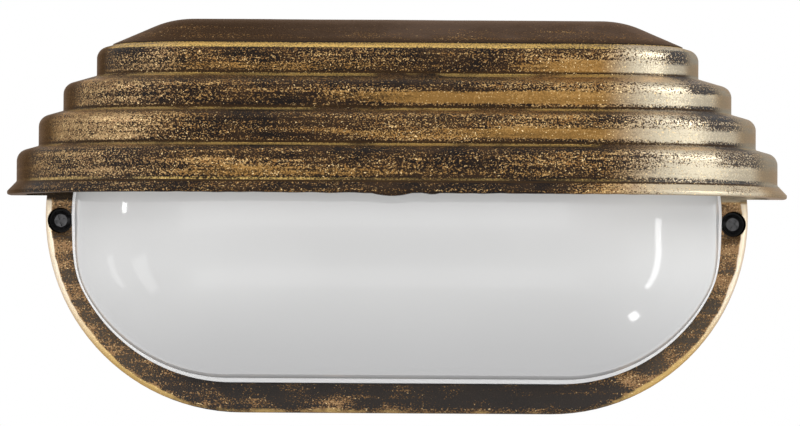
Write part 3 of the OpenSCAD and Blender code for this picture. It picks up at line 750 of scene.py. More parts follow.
class GeometryTree(Graph):
    """Builds a geometry node tree with named inputs."""

    def __init__(self, name: str) -> None:
        """Starts a tree that takes a geometry."""
        super().__init__(bpy.data.node_groups.new(name, "GeometryNodeTree"))
        self.entry = self.add("NodeGroupInput")
        self.geometry = self.ask("Geometry", "NodeSocketGeometry")

    def ask(self, name: str, kind: str) -> Wire:
        """Adds a named input.

        Args:
            name: name of the input.
            kind: type of its socket.

        Returns:
            The input as a wire.
        """
        self.tree.interface.new_socket(name, in_out="INPUT", socket_type=kind)
        return Wire(self, self.entry.outputs[name])

    def step(self, kind: str, *wires: Wire, **inputs: Any) -> Wire:
        """Adds a node whose first inputs are the given wires.

        Args:
            kind: the node's type.
            wires: wires for its first inputs in order.
            inputs: further inputs by name, with underscores in place of spaces.

        Returns:
            The node's first output.
        """
        values: dict[str | int, Any] = dict(enumerate(wires))
        values.update({name.replace("_", " "): value for name, value in inputs.items()})
        return self.wire(self.add(kind, None, values))

    def vector(self, *parts: Wire | float) -> Wire:
        """Three numbers as a vector."""
        return self.wire(self.add("ShaderNodeCombineXYZ", None, dict(enumerate(parts))))

    def moved(self, geometry: Wire, up: Wire) -> Wire:
        """A geometry moved along Z."""
        offset = self.vector(0.0, 0.0, up)
        return self.step("GeometryNodeTransform", geometry, Translation=offset)

    def merged(self, operation: str, first: Wire, second: Wire) -> Wire:
        """Two solids joined by a Boolean operation.

        Args:
            operation: UNION or DIFFERENCE.
            first: the first solid.
            second: the second solid.

        Returns:
            The resulting solid.
        """
        start = "Mesh 2" if operation == "UNION" else "Mesh 1"
        made = self.add("GeometryNodeMeshBoolean", {"operation": operation}, {start: first})
        self.tree.links.new(second.socket, made.inputs["Mesh 2"])
        return self.wire(made)

    def close(self, geometry: Wire, finish: Wire) -> bpy.types.NodeTree:
        """Ends the tree in plain dressed geometry.

        Args:
            geometry: what the tree has made.
            finish: material to set on it.

        Returns:
            The finished tree.
        """
        plain = self.step("GeometryNodeRealizeInstances", geometry)
        dressed = self.step("GeometryNodeSetMaterial", plain, Material=finish)
        self.tree.interface.new_socket(
            "Geometry", in_out="OUTPUT", socket_type="NodeSocketGeometry"
        )
        self.add("NodeGroupOutput", None, {0: dressed})
        return self.tree


def grown(
    base: bpy.types.Object, tree: bpy.types.NodeTree, values: dict[str, Any]
) -> bpy.types.Mesh:
    """Runs a geometry node tree on an object.

    Args:
        base: object that the tree starts from.
        tree: the tree.
        values: its inputs by name.

    Returns:
        The result as a plain mesh; the object loses the modifier again.
    """
    modifier = base.modifiers.new("shape", "NODES")
    modifier.node_group = tree
    for item in tree.interface.items_tree:
        if item.in_out == "INPUT" and item.name in values:
            modifier[item.identifier] = values[item.name]
    graph = bpy.context.evaluated_depsgraph_get()
    mesh = bpy.data.meshes.new_from_object(base.evaluated_get(graph))
    base.modifiers.remove(modifier)
    return mesh


def new_object(name: str, data: bpy.types.ID) -> bpy.types.Object:
    """Puts a mesh, a lamp or a camera into the scene at the origin."""
    made = bpy.data.objects.new(name, data)
    bpy.context.scene.collection.objects.link(made)
    return made


def polyline(name: str, points: Sequence[Point], closed: bool) -> bpy.types.Object:
    """Makes a helper object from a line of points.

    Args:
        name: name of the helper.
        points: its points in the XY plane.
        closed: whether the last point joins the first.

    Returns:
        The helper, a mesh of edges.
    """
    count = len(points)
    edges = [(i, i + 1) for i in range(count - 1)] + ([(count - 1, 0)] if closed else [])
    mesh = bpy.data.meshes.new(name)
    mesh.from_pydata([(x, y, 0.0) for x, y in points], edges, [])
    return new_object(name, mesh)


def rounded(corners: Sequence[tuple[float, float, float]], steps: int = 8) -> list[Point]:
    """Rounds the corners of an open line.

    Args:
        corners: corner points, each with the radius of its rounding.
        steps: straight pieces in each rounding.

    Returns:
        The rounded line.
    """
    line: list[Point] = []
    for i, (x, y, radius) in enumerate(corners):
        if radius == 0.0 or i in (0, len(corners) - 1):
            line.append((x, y))
            continue
        here = Vector((x, y))
        back = (Vector(corners[i - 1][:2]) - here).normalized()
        ahead = (Vector(corners[i + 1][:2]) - here).normalized()
        half = back.angle(ahead) / 2
        centre = here + (back + ahead).normalized() * (radius / math.sin(half))
        first = here + back * (radius / math.tan(half)) - centre
        last = here + ahead * (radius / math.tan(half)) - centre
        start = math.atan2(first.y, first.x)
        turn = math.atan2(first.x * last.y - first.y * last.x, first.dot(last))
        for k in range(steps + 1):
            angle = start + turn * k / steps
            line.append((centre.x + radius * math.cos(angle), centre.y + radius * math.sin(angle)))
    return line


def dense(points: Sequence[Point], step: float, closed: bool = False) -> list[Point]:
    """Fills a line with points no further apart than a step.

    Args:
        points: the line.
        step: greatest distance between points.
        closed: whether the last point joins the first.

    Returns:
        The denser line.
    """
    ends = list(points[1:]) + ([points[0]] if closed else [])
    line: list[Point] = []
    for (x0, y0), (x1, y1) in zip(points, ends):
        parts = max(1, math.ceil(math.hypot(x1 - x0, y1 - y0) / step))
        line += [
            (x0 + (x1 - x0) * k / parts, y0 + (y1 - y0) * k / parts) for k in range(parts)
        ]
    return line if closed else line + [points[-1]]


@dataclass
class Sweep:
    """A section swept along a path with geometry nodes."""

    name: str
    path: list[Point]
    section: list[Point]
    finish: bpy.types.Material
    closed_path: bool = False
    closed_section: bool = True
    stance: Stance = Stance.LEVEL
    waviness: float = 0.0
    grain: float = 60.0

    @staticmethod
    def tree() -> bpy.types.NodeTree:
        """The tree that all sweeps share, made once.

        Returns:
            The tree.
        """
        kept = bpy.data.node_groups.get("sweep")
        if kept:
            return kept
        made = GeometryTree("sweep")
        section = made.ask("Section", "NodeSocketObject")
        waviness = made.ask("Waviness", "NodeSocketFloat")
        grain = made.ask("Grain", "NodeSocketFloat")
        turn = made.ask("Turn", "NodeSocketVector")
        finish = made.ask("Finish", "NodeSocketMaterial")
        path = made.step("GeometryNodeMeshToCurve", made.geometry)
        upright = made.wire(
            made.add("GeometryNodeSetCurveNormal", {"mode": "Z_UP"}, {"Curve": path})
        )
        info = made.add("GeometryNodeObjectInfo", None, {"Object": section})
        profile = made.step("GeometryNodeMeshToCurve", made.wire(info, "Geometry"))
        skin = made.step(
            "GeometryNodeCurveToMesh", upright, Profile_Curve=profile, Fill_Caps=True
        )
        whole = made.step("GeometryNodeMergeByDistance", skin, Distance=0.02 * MM)
        lumps = made.add(
            "ShaderNodeTexNoise",
            {"noise_dimensions": "4D"},
            {
                "Vector": made.step("GeometryNodeInputPosition"),
                "W": 4.0,
                "Scale": grain,
                "Detail": 3.0,
            },
        )
        lift = (made.wire(lumps) - 0.5) * waviness
        push = made.add(
            "ShaderNodeVectorMath",
            {"operation": "SCALE"},
            {"Vector": made.step("GeometryNodeInputNormal"), "Scale": lift},
        )
        cast = made.step("GeometryNodeSetPosition", whole, Offset=made.wire(push))
        stood = made.step("GeometryNodeTransform", cast, Rotation=turn)
        smooth = made.step("GeometryNodeSetShadeSmooth", stood)
        return made.close(smooth, finish)

    def mesh(self) -> bpy.types.Mesh:
        """Runs the sweep.

        Returns:
            The swept mesh, with its normals outwards.
        """
        path = polyline(f"{self.name} path", self.path, self.closed_path)
        flipped = [(-out, -up) for out, up in self.section]
        section = polyline(f"{self.name} section", flipped, self.closed_section)
        mesh = grown(
            path,
            self.tree(),
            {
                "Section": section,
                "Waviness": self.waviness,
                "Grain": self.grain,
                "Turn": self.stance.value,
                "Finish": self.finish,
            },
        )
        for helper in (path, section):
            bpy.data.objects.remove(helper)
        work = bmesh.new()
        work.from_mesh(mesh)
        bmesh.ops.remove_doubles(work, verts=work.verts, dist=0.005 * MM)
        bmesh.ops.recalc_face_normals(work, faces=work.faces)
        work.to_mesh(mesh)
        work.free()
        return mesh


@dataclass
class FrontCasting:
    """Ring and stepped hood. The ring is a copy of the solid, the hood is swept afresh.

    Each stub of the casting gate has a place along the lip, a half width and a depth.
    """

    finish: bpy.types.Material
    face_y: float = FACE_Y
    corner_x: float = CORNER_X
    corner_y: float = CORNER_Y
    tier_radii: tuple[float, ...] = (61.4 * MM, 54.0 * MM, 45.7 * MM, 34.4 * MM)
    tier_tops: tuple[float, ...] = TIER_TOPS
    shoulder_slope: float = math.radians(16.0)
    shoulder_r: float = 4.0 * MM
    foot_r: float = 0.6 * MM
    inner_shoulder_r: float = 2.0 * MM
    inner_foot_r: float = 0.5 * MM
    wall: float = 3.0 * MM
    bottom: float = 6.5 * MM
    lip_r: float = 64.6 * MM
    lip_h: float = 1.2 * MM
    lip_edge_r: float = 0.5 * MM
    lip_top: float = 11.0 * MM
    lip_seam_r: float = 0.9 * MM
    roof_base_r: float = 29.0 * MM
    roof_step: float = 0.4 * MM
    roof_foot_r: float = 0.12 * MM
    roof_edge_r: float = 0.15 * MM
    inner_roof_r: float = 1.0 * MM
    roof_slope: float = math.radians(23.5)
    roof_r: float = 32.0 * MM
    ridge_flat: float = 2.0 * MM
    waviness: float = 0.28 * MM
    lumps_per_m: float = 34.0
    trim_h: float = 1.6 * MM
    trim_y: float = -114.0 * MM
    trim_depth: float = 0.22 * MM
    trim_per_m: float = 160.0
    stubs: tuple[tuple[float, float, float], ...] = (
        (-1.8 * MM, 6.5 * MM, 1.0 * MM),
        (11.5 * MM, 2.6 * MM, 0.45 * MM),
    )
    sharp_over: float = math.radians(32.0)

    @property
    def roof_bend(self) -> float:
        """Distance from the corner axis at which the rounding of the ridge starts."""
        return self.ridge_flat + self.roof_r * math.sin(self.roof_slope)

    @property
    def ridge_rise(self) -> float:
        """Height of the rounding of the ridge."""
        return self.roof_r * (1.0 - math.cos(self.roof_slope))

    @property
    def roof_top(self) -> float:
        """Height of the ridge."""
        side = (self.roof_base_r - self.roof_bend) * math.tan(self.roof_slope)
        return self.tier_tops[-1] + self.roof_step + side + self.ridge_rise

    def tiers(self) -> list[tuple[float, float, float, float]]:
        """Sizes of the tiers.

        Returns:
            For each tier its radius, the height at which its shoulder starts, the radius at which
            the shoulder ends and the height there.
        """
        feet = (*self.tier_radii[1:], self.roof_base_r)
        fall = math.tan(self.shoulder_slope)
        return [
            (radius, top - (radius - foot) * fall, foot, top)
            for radius, top, foot in zip(self.tier_radii, self.tier_tops, feet)
        ]

    def outside(self) -> list[Point]:
        """Line up the outside of the hood.

        Returns:
            Points of radius about the corner axis and height, from the lip to the ridge.
        """
        corners = [
            (self.tier_radii[0] - self.wall, self.bottom, 0.0),
            (self.lip_r, self.bottom, self.lip_edge_r),
            (self.lip_r, self.bottom + self.lip_h, self.lip_edge_r),
            (self.tier_radii[0], self.lip_top, self.lip_seam_r),
        ]
        for radius, start, foot, top in self.tiers():
            last = foot == self.roof_base_r
            corners.append((radius, start, self.shoulder_r))
            corners.append((foot, top, self.roof_foot_r if last else self.foot_r))
        roof_foot = self.tier_tops[-1] + self.roof_step
        ridge = self.roof_base_r - (self.roof_top - roof_foot) / math.tan(self.roof_slope)
        corners.append((self.roof_base_r, roof_foot, self.roof_edge_r))
        corners.append((ridge, self.roof_top, self.roof_r))
        corners.append((0.0, self.roof_top, 0.0))
        return rounded(corners, steps=10)

    def inside(self) -> list[Point]:
        """Line down the inside of the hood, from under the ridge to the lip."""
        corners = [(self.tier_radii[0] - self.wall, self.bottom, 0.0)]
        for radius, start, foot, top in self.tiers():
            corners.append((radius - self.wall, start - self.wall, self.inner_shoulder_r))
            corners.append((foot - self.wall, top - self.wall, self.inner_foot_r))
        under = self.roof_top - self.ridge_rise - self.wall
        corners.append((self.roof_bend, under, self.inner_roof_r))
        corners.append((0.0, under, 0.0))
        return rounded(corners, steps=4)[::-1]

    def path(self) -> list[Point]:
        """Path round the lip, from its right end over the front to its left end."""
        turns = 72
        half = [(self.corner_x + self.lip_r, self.face_y)]
        for i in range(turns + 1):
            angle = math.pi / 2 * i / turns
            half.append(
                (
                    self.corner_x + self.lip_r * math.cos(angle),
                    self.corner_y - self.lip_r * math.sin(angle),
                )
            )
        return dense(half + [(-x, y) for x, y in reversed(half)], 1.5 * MM)

    def hood(self) -> bpy.types.Mesh:
        """Sweeps the hood and roughens its lip.

        Returns:
            The hood as a mesh.
        """
        line = dense(self.outside(), 1.2 * MM) + self.inside()[:-1]
        section = [(r - self.lip_r, z) for r, z in line]
        mesh = Sweep(
            "hood",
            self.path(),
            section,
            self.finish,
            waviness=self.waviness,
            grain=self.lumps_per_m,
        ).mesh()
        for vertex in mesh.vertices:
            self._roughen(vertex.co)
        return mesh

    def _roughen(self, at: Vector) -> None:
        """Moves one point of the lip's lower edge: uneven trimming and the stubs of the gate."""
        share = max(0.0, 1.0 - (at.z - self.bottom) / self.trim_h)
        if share == 0.0 or at.y > self.trim_y:
            return
        down = self.trim_depth * noise.noise(Vector((at.x * self.trim_per_m, 3.0, 0.0)))
        for place, half, depth in self.stubs:
            down += depth * max(0.0, 1.0 - ((at.x - place) / half) ** 2)
        at.z -= share * down

    def ring(self, node: bpy.types.Object) -> bpy.types.Mesh:
        """Copies the ring and its plate from the solid, without the hood.

        Args:
            node: the solid's mesh object, which stays as it is.

        Returns:
            The copy, merged and shaded smooth up to its sharp edges.
        """
        work = bmesh.new()
        work.from_mesh(node.data)
        bmesh.ops.remove_doubles(work, verts=work.verts, dist=0.005 * MM)
        bmesh.ops.bisect_plane(
            work,
            geom=[*work.verts, *work.edges, *work.faces],
            dist=0.01 * MM,
            plane_co=(0.0, self.face_y, 0.0),
            plane_no=(0.0, 1.0, 0.0),
            clear_inner=True,
        )
        bmesh.ops.holes_fill(work, edges=[edge for edge in work.edges if edge.is_boundary])
        mesh = bpy.data.meshes.new("ring")
        work.to_mesh(mesh)
        work.free()
        mesh.materials.clear()
        mesh.materials.append(self.finish)
        mesh.shade_smooth()
        mesh.set_sharp_from_angle(angle=self.sharp_over)
        return mesh

    def build(self, node: bpy.types.Object) -> bpy.types.Object:
        """Joins ring and hood.

        Args:
            node: the solid's mesh object.

        Returns:
            The casting.
        """
        work = bmesh.new()
        for mesh in (self.ring(node), self.hood(), self._ridge()):
            work.from_mesh(mesh)
            bpy.data.meshes.remove(mesh)
        mesh = bpy.data.meshes.new("front casting")
        work.to_mesh(mesh)
        work.free()
        mesh.materials.append(self.finish)
        return new_object("front_casting", mesh)

    def _ridge(self) -> bpy.types.Mesh:
        """The flat strip of roof between the corner axes and the ring's plate."""
        mesh = bpy.data.meshes.new("ridge")
        low = self.roof_top - self.wall - 2.0 * MM
        work = bmesh.new()
        bmesh.ops.create_cube(work, size=1.0)
        for vert in work.verts:
            vert.co.x *= 2 * self.corner_x
            vert.co.y = self.corner_y if vert.co.y < 0.0 else self.face_y
            vert.co.z = low if vert.co.z < 0.0 else self.roof_top
        work.to_mesh(mesh)
        work.free()
        return mesh


@dataclass
class GlassBowl:
    """Opal bowl with a rounded shoulder and a flange behind the ring."""

    finish: bpy.types.Material
    half: float = 53.6 * MM
    radius: float = 56.9 * MM
    rear: float = 44.0 * MM
    flange_front: float = 47.0 * MM
    flange_r: float = 59.7 * MM
    bend: float = 60.0 * MM
    front: float = 104.0 * MM
    shoulder_r: float = 30.0 * MM
    wall: float = 3.0 * MM
    face: float = -FACE_Y
    swell: float = 3.3 * MM
    swell_end: float = 0.14
    swell_over: float = 24.0 * MM
    swell_start: float = 0.5 * MM
    swell_depth: float = 3.0 * MM
    rim_w: float = 1.5 * MM
    rim_h: float = 2.6 * MM
    rim_fillet: float = 0.5 * MM
    flange_fillet: float = 0.4 * MM
    screw_x: float = SCREW_X
    screw_z: float = SCREW_Z
    notch_r: float = 6.1 * MM

    def _notch(self, at: Vector) -> None:
        """Draws the flange in where the cover screws pass."""
        beside = self.notch_r**2 - (at.z - self.screw_z) ** 2
        if -at.y > self.face or beside <= 0.0:
            return
        side = self.half + math.sqrt(self.radius**2 - at.z**2)
        limit = max(self.screw_x - math.sqrt(beside), side)
        at.x = math.copysign(min(abs(at.x), limit), at.x)

    def _swell(self, at: Vector) -> None:
        """Lets the ends of the bowl swell a little in front of the ring, less at the screws."""
        ahead = -at.y - self.face - self.swell_start
        out = min(max(ahead / self.swell_depth, 0.0), 1.0)
        beside = min(abs(at.x) / self.half, 1.0)
        low = min(max((self.screw_z - at.z) / self.swell_over, 0.0), 1.0)
        eased = low * low * (3.0 - 2.0 * low)
        share = self.swell_end + (1.0 - self.swell_end) * eased
        reach = self.swell * share * beside * math.sin(out * math.pi / 2)
        at.x += math.copysign(reach, at.x)

    def curve(self, inset: float, steps: int) -> list[Point]:
        """Line from the middle of the bowl to the start of its straight side.

        Args:
            inset: distance from the outside of the glass.
            steps: straight pieces in the line.

        Returns:
            Points of radius and distance from the wall.
        """
        radius = self.radius - self.rim_w - inset
        small = self.shoulder_r - inset
        rise = self.front - self.bend - inset
        run = radius - small
        crown = (run * run + rise * rise - small * small) / (2.0 * (rise - small))
        crown_f = self.bend + rise - crown
        meet = math.atan2(run, self.bend - crown_f)
        line: list[Point] = []
        for k in range(steps + 1):
            angle = meet * k / steps
            line.append((crown * math.sin(angle), crown_f + crown * math.cos(angle)))
        for k in range(1, steps + 1):
            angle = meet + (math.pi / 2 - meet) * k / steps
            line.append((run + small * math.sin(angle), self.bend + small * math.cos(angle)))
        return line

    def section(self) -> list[Point]:
        """Line from the middle of the outside, round the flange, to the middle of the inside."""
        body = self.radius - self.rim_w
        inner = body - self.wall
        rim_top = self.face + self.rim_h
        edge = rounded(
            [
                (body, self.bend, 0.0),
                (body, rim_top, self.rim_fillet),
                (self.radius, rim_top, self.rim_fillet),
                (self.radius, self.face + self.swell_start + 1.0 * MM, 0.0),
                (self.radius, self.face + self.swell_start, 0.0),
                (self.radius, self.flange_front, self.flange_fillet),
                (self.flange_r, self.flange_front, self.flange_fillet),
                (self.flange_r, self.rear, self.flange_fillet),
                (inner, self.rear, self.flange_fillet),
                (inner, self.bend, 0.0),
            ],
            steps=4,
        )
        outside = self.curve(0.0, steps=40)
        inside = self.curve(self.wall, steps=24)
        return outside[:-1] + edge + inside[::-1][1:]

    def build(self) -> bpy.types.Object:
        """Sweeps the bowl round its oval.

        Returns:
            The bowl.
        """
        turns = 96
        path = [
            (
                side * self.half + self.flange_r * math.sin(start + math.pi * i / turns),
                self.flange_r * math.cos(start + math.pi * i / turns),
            )
            for side, start in ((1, 0.0), (-1, math.pi))
            for i in range(turns + 1)
        ]
        section = [(r - self.flange_r, f) for r, f in self.section()]
        mesh = Sweep(
            "bowl",
            dense(path, 4.0 * MM, closed=True),
            section,
            self.finish,
            closed_path=True,
            closed_section=False,
            stance=Stance.ON_WALL,
        ).mesh()
        for vertex in mesh.vertices:
            self._notch(vertex.co)
            self._swell(vertex.co)
        return new_object("glass_bowl", mesh)


@dataclass
class CoverScrews:
    """The two screws that hold the front, set by geometry nodes at the points of a mesh.

    The sizes of the cross, the taper and the root are shares of the head's width or height.
    """

    finish: bpy.types.Material
    axis_x: float = SCREW_X
    axis_z: float = SCREW_Z
    seat: float = 46.0 * MM
    head_d: float = 6.2 * MM
    head_h: float = 2.4 * MM
    thread_d: float = 3.5 * MM
    slot_long: float = 0.62
    slot_wide: float = 0.16
    slot_floor: float = 0.4
    slot_step: float = 0.03
    taper: float = 0.3
    root: float = 0.2
    seed: int = 3

    def tree(self) -> bpy.types.NodeTree:
        """Makes one cross-head screw and sets it at each point, turned at random.

        Returns:
            The tree.
        """
        made = GeometryTree("screws")
        head = made.ask("Head", "NodeSocketFloat")
        height = made.ask("Height", "NodeSocketFloat")
        thread = made.ask("Thread", "NodeSocketFloat")
        length = made.ask("Length", "NodeSocketFloat")
        seed = made.ask("Seed", "NodeSocketInt")
        finish = made.ask("Finish", "NodeSocketMaterial")
        root = height * self.root
        shank = made.step(
            "GeometryNodeMeshCylinder", Vertices=32, Radius=thread * 0.5, Depth=length + root
        )
        block = made.step(
            "GeometryNodeMeshCylinder",
            Vertices=48,
            Side_Segments=2,
            Radius=head * 0.5,
            Depth=height,
        )
        spot = made.add(
            "ShaderNodeSeparateXYZ", None, {0: made.step("GeometryNodeInputPosition")}
        )
        taper = (made.wire(spot, "Z") / height).rise(0.25, 0.45) * -self.taper
        inward = made.vector(made.wire(spot, "X") * taper, made.wire(spot, "Y") * taper, 0.0)
        pan = made.step("GeometryNodeSetPosition", block, Offset=inward)
        pan = made.moved(pan, height * 0.5)
        cross = made.vector(head * self.slot_long, head * self.slot_wide, height)
        arm = made.moved(made.step("GeometryNodeMeshCube", cross), height * (self.slot_floor + 0.5))
        across = made.step("GeometryNodeTransform", arm, Rotation=(0.0, 0.0, math.pi / 2))
        across = made.moved(across, height * -self.slot_step)
        pan = made.merged("DIFFERENCE", made.merged("DIFFERENCE", pan, arm), across)
        whole = made.merged("UNION", pan, made.moved(shank, (root - length) * 0.5))
        whole = made.step("GeometryNodeSetShadeSmooth", whole, Shade_Smooth=False)
        turn = made.add("FunctionNodeRandomValue", {"data_type": "FLOAT"}, {"Seed": seed})
        pose = made.vector(math.pi / 2, made.wire(turn, 1) * math.pi, 0.0)
        placed = made.step(
            "GeometryNodeInstanceOnPoints", made.geometry, Instance=whole, Rotation=pose
        )
        return made.close(placed, finish)

    def build(self, tip: float) -> bpy.types.Object:
        """Sets the screws.

        Args:
            tip: distance of their tips from the wall.

        Returns:
            The two screws as one piece.
        """
        base = bpy.data.meshes.new("screw points")
        points = [(side * self.axis_x, -self.seat, self.axis_z) for side in (-1, 1)]
        base.from_pydata(points, [], [])
        helper = new_object("screw points", base)
        mesh = grown(
            helper,
            self.tree(),
            {
                "Head": self.head_d,
                "Height": self.head_h,
                "Thread": self.thread_d,
                "Length": self.seat - tip,
                "Seed": self.seed,
                "Finish": self.finish,
            },
        )
        bpy.data.objects.remove(helper)
        return new_object("front_screws", mesh)


@dataclass(frozen=True)
class Lamp:
    """A rectangular lamp: place, width and height in metres, and power in watts.

    Without a direction it faces the light. A soft lamp fades towards its edges, and its width and
    height are those halfway down the fade.
    """

    name: str
    at: tuple[float, float, float]
    size: tuple[float, float]
    power: float
    facing: tuple[float, float, float] | None = None
    soft: bool = False


TO_RIGHT = (1.0, 0.0, 0.0)
TO_LEFT = (-1.0, 0.0, 0.0)


@dataclass
class Studio:
    """Camera, lamps, world and floor."""

    lamps: tuple[Lamp, ...] = (
        Lamp("right softbox", (1.55, -0.60, 0.92), (0.6, 1.0), 20.0, TO_LEFT),
        Lamp("left softbox", (-1.40, -0.85, 0.92), (0.5, 0.9), 9.5, TO_RIGHT),
        Lamp("front fill", (-0.85, -3.4, 0.5), (6.6, 4.5), 132.0, soft=True),
        Lamp("low fill", (-0.3, -2.0, -1.7), (3.2, 1.3), 16.0, soft=True),
        Lamp("top softbox", (0.0, -0.5, 1.5), (1.6, 0.9), 6.0),
        Lamp("right strip", (1.285, -0.53, -0.50), (0.12, 0.98), 2.4, TO_LEFT),
        Lamp("right lower spot", (0.80, -0.17, -1.02), (0.16, 0.10), 0.5),
        Lamp("left strip", (-1.29, -0.62, -0.80), (0.30, 0.9), 1.2, TO_RIGHT),
        Lamp("left rear strip", (-1.30, -0.05, -0.50), (0.12, 0.6), 0.30, TO_RIGHT),
        Lamp("left spot", (-1.46, -0.36, 0.09), (0.09, 0.12), 0.5),
    )
    fade: tuple[float, ...] = (0.45, 0.7, 0.95, 1.2, 1.45)
    middle: tuple[float, float, float] = (0.0, -0.05, 0.0)
    distance: float = 1.800
    camera_z: float = -0.035
    aim_x: float = 1.1 * MM
    aim_z: float = 1.2 * MM
    width_seen: float = 273.1 * MM
    roll: float = math.radians(0.35)
    sensor: float = 36.0
    sight: float = 50.0
    floor_z: float = -4.4
    floor_half: float = 6.0
    floor_grey: Colour = (0.82, 0.82, 0.82)
    floor_glow: float = 0.85
    world_light: float = 0.32

    def build(self, face_y: float) -> None:
        """Sets up everything that isn't part of the light.

        Args:
            face_y: y of the frame's front face, at which the photograph's scale holds.
        """
        self._camera(face_y)
        for lamp in self.lamps:
            shares = self.fade if lamp.soft else (1.0,)
            for share in shares:
                self._lamp(lamp, share, lamp.power / len(shares))
        self._world()
        self._floor()
        bpy.context.scene.view_settings.view_transform = "Standard"

    def _camera(self, face_y: float) -> None:
        """Adds the camera in front of the light, looking a little upwards."""
        data = bpy.data.cameras.new("camera")
        data.sensor_width = self.sensor
        data.lens = self.sensor * self.distance / self.width_seen
        data.clip_end = self.sight
        camera = new_object("camera", data)
        camera.location = (self.aim_x, face_y - self.distance, self.camera_z)
        aim = Vector((self.aim_x, face_y, self.aim_z)) - camera.location
        turn = aim.to_track_quat("-Z", "Y") @ Quaternion((0.0, 0.0, 1.0), self.roll)
        camera.rotation_euler = turn.to_euler()
        bpy.context.scene.camera = camera

    def _lamp(self, lamp: Lamp, share: float, power: float) -> None:
        """Adds one area lamp; a soft lamp is a few of them inside each other.

        Args:
            lamp: what the lamp is like.
            share: share of its width and height.
            power: in watts.
        """
        data = bpy.data.lights.new(lamp.name, "AREA")
        data.shape = "RECTANGLE"
        data.size, data.size_y = (side * share for side in lamp.size)
        data.energy = power
        made = new_object(lamp.name, data)
        made.location = lamp.at
        aim = Vector(lamp.facing) if lamp.facing else Vector(self.middle) - Vector(lamp.at)
        made.rotation_euler = aim.to_track_quat("-Z", "Y").to_euler()

    def _world(self) -> None:
        """A pale world that the camera and reflections see as white."""
        world = bpy.data.worlds.new("studio")
        world.use_nodes = True
        bpy.context.scene.world = world
        graph = Graph(world.node_tree)
        rays = graph.add("ShaderNodeLightPath")
        seen = (
            graph.wire(rays, "Is Camera Ray")
            .at_least(graph.wire(rays, "Is Glossy Ray"))
            .at_least(graph.wire(rays, "Is Transmission Ray"))
        )
        strength = self.world_light + seen * (1.0 - self.world_light)
        background = graph.add(
            "ShaderNodeBackground", None, {"Color": (1.0, 1.0, 1.0, 1.0), "Strength": strength}
        )
        graph.add("ShaderNodeOutputWorld", None, {"Surface": background.outputs[0]})

    def _floor(self) -> None:
        """Adds the pale floor, well below the light as it hangs on its wall."""
        mesh = bpy.data.meshes.new("floor")
        half = self.floor_half
        mesh.from_pydata(
            [(-half, -half, 0), (half, -half, 0), (half, half, 0), (-half, half, 0)],
            [],
            [(0, 1, 2, 3)],
        )
        floor = new_object("floor", mesh)
        floor.location.z = self.floor_z
        made, graph = new_material("pale floor")
        rays = graph.add("ShaderNodeLightPath")
        seen = graph.wire(rays, "Is Camera Ray").at_least(graph.wire(rays, "Is Glossy Ray"))
        diffuse = graph.add("ShaderNodeBsdfDiffuse", None, {"Color": (*self.floor_grey, 1.0)})
        glow = graph.add("ShaderNodeEmission", None, {"Strength": 1.0})
        mix = graph.add(
            "ShaderNodeMixShader",
            None,
            {0: seen * self.floor_glow, 1: diffuse.outputs[0], 2: glow.outputs[0]},
        )
        graph.add("ShaderNodeOutputMaterial", None, {"Surface": mix.outputs[0]})
        mesh.materials.append(made)


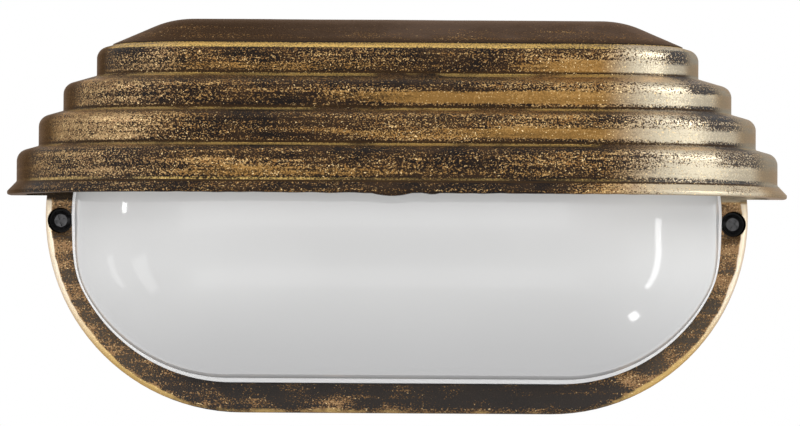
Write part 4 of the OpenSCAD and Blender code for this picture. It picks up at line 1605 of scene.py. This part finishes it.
@dataclass
class Dressing:
    """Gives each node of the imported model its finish."""

    nodes: dict[str, bpy.types.Object]
    finishes: dict[str, bpy.types.Material] = field(default_factory=dict)

    def build(self, slots: dict[str, str]) -> None:
        """Dresses every node.

        Args:
            slots: material slot of each node.
        """
        opal_bulb = OpalGlass(milk=(0.80, 0.80, 0.78), cloud=(0.84, 0.84, 0.82))
        looks = {
            "patina": ("rubbed gold", RubbedGold()),
            "opal": ("opal glass", OpalGlass()),
            "rubber": ("black rubber", Moulded((0.018, 0.018, 0.018), 0.72)),
            "zinc": ("zinc", Moulded((0.56, 0.57, 0.58), 0.34, 1400.0, 0.01 * MM, 1.0)),
            "porcelain": ("porcelain", Moulded((0.72, 0.69, 0.62), 0.20, 300.0, 0.02 * MM)),
            "brass": ("brass", Moulded((0.62, 0.42, 0.13), 0.30, 1200.0, 0.01 * MM, 1.0)),
            "bulb_glass": ("bulb glass", opal_bulb),
            "brown_wire": ("brown insulation", Moulded((0.10, 0.040, 0.018), 0.45)),
            "blue_wire": ("blue insulation", Moulded((0.020, 0.070, 0.30), 0.45)),
            "earth_wire": ("earth insulation", Moulded((0.16, 0.36, 0.03), 0.45)),
            "steel": (
                "blackened steel",
                Moulded((0.075, 0.075, 0.078), 0.42, 1400.0, 0.02 * MM, 0.6),
            ),
        }
        for slot, (name, look) in looks.items():
            self.finishes[slot] = look.material(name)
        for name, node in self.nodes.items():
            node.data.materials.clear()
            node.data.materials.append(self.finishes[slots[name]])
            LOG.info("dressed %s as %s", name, slots[name])


def corners(pair: Iterable[Vector]) -> list[list[float]]:
    """A pair of corners as plain lists."""
    return [list(corner) for corner in pair]


def adopt(made: bpy.types.Object, node: str) -> None:
    """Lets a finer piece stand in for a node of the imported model.

    Args:
        made: the finer piece.
        node: name of the node.
    """
    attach(made, "root")
    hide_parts(node)
    low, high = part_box(node)
    points = [vertex.co for vertex in made.data.vertices]
    for k, axis in enumerate("xyz"):
        here = (min(p[k] for p in points), max(p[k] for p in points))
        off = max(abs(here[0] - low[k]), abs(here[1] - high[k])) / MM
        LOG.info("%s for %s: %s off by %.2f mm", made.name, node, axis, off)


def main() -> None:
    """Builds the scene."""
    logging.basicConfig(level=logging.INFO, format="%(name)s: %(message)s")
    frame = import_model()
    slots = {part["node"]: part["material_slot"] for part in frame["record"]["subparts"]}
    dressing = Dressing(frame["nodes"])
    dressing.build(slots)
    casting = FrontCasting(dressing.finishes["patina"]).build(frame["nodes"]["front_frame"])
    adopt(casting, "front_frame")
    bowl = GlassBowl(dressing.finishes["opal"]).build()
    adopt(bowl, "opal_glass")
    tip = -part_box("cover_screws")[1][1]
    adopt(CoverScrews(dressing.finishes["steel"]).build(tip), "cover_screws")
    Studio().build(FACE_Y)


if __name__ == "__main__":
    main()
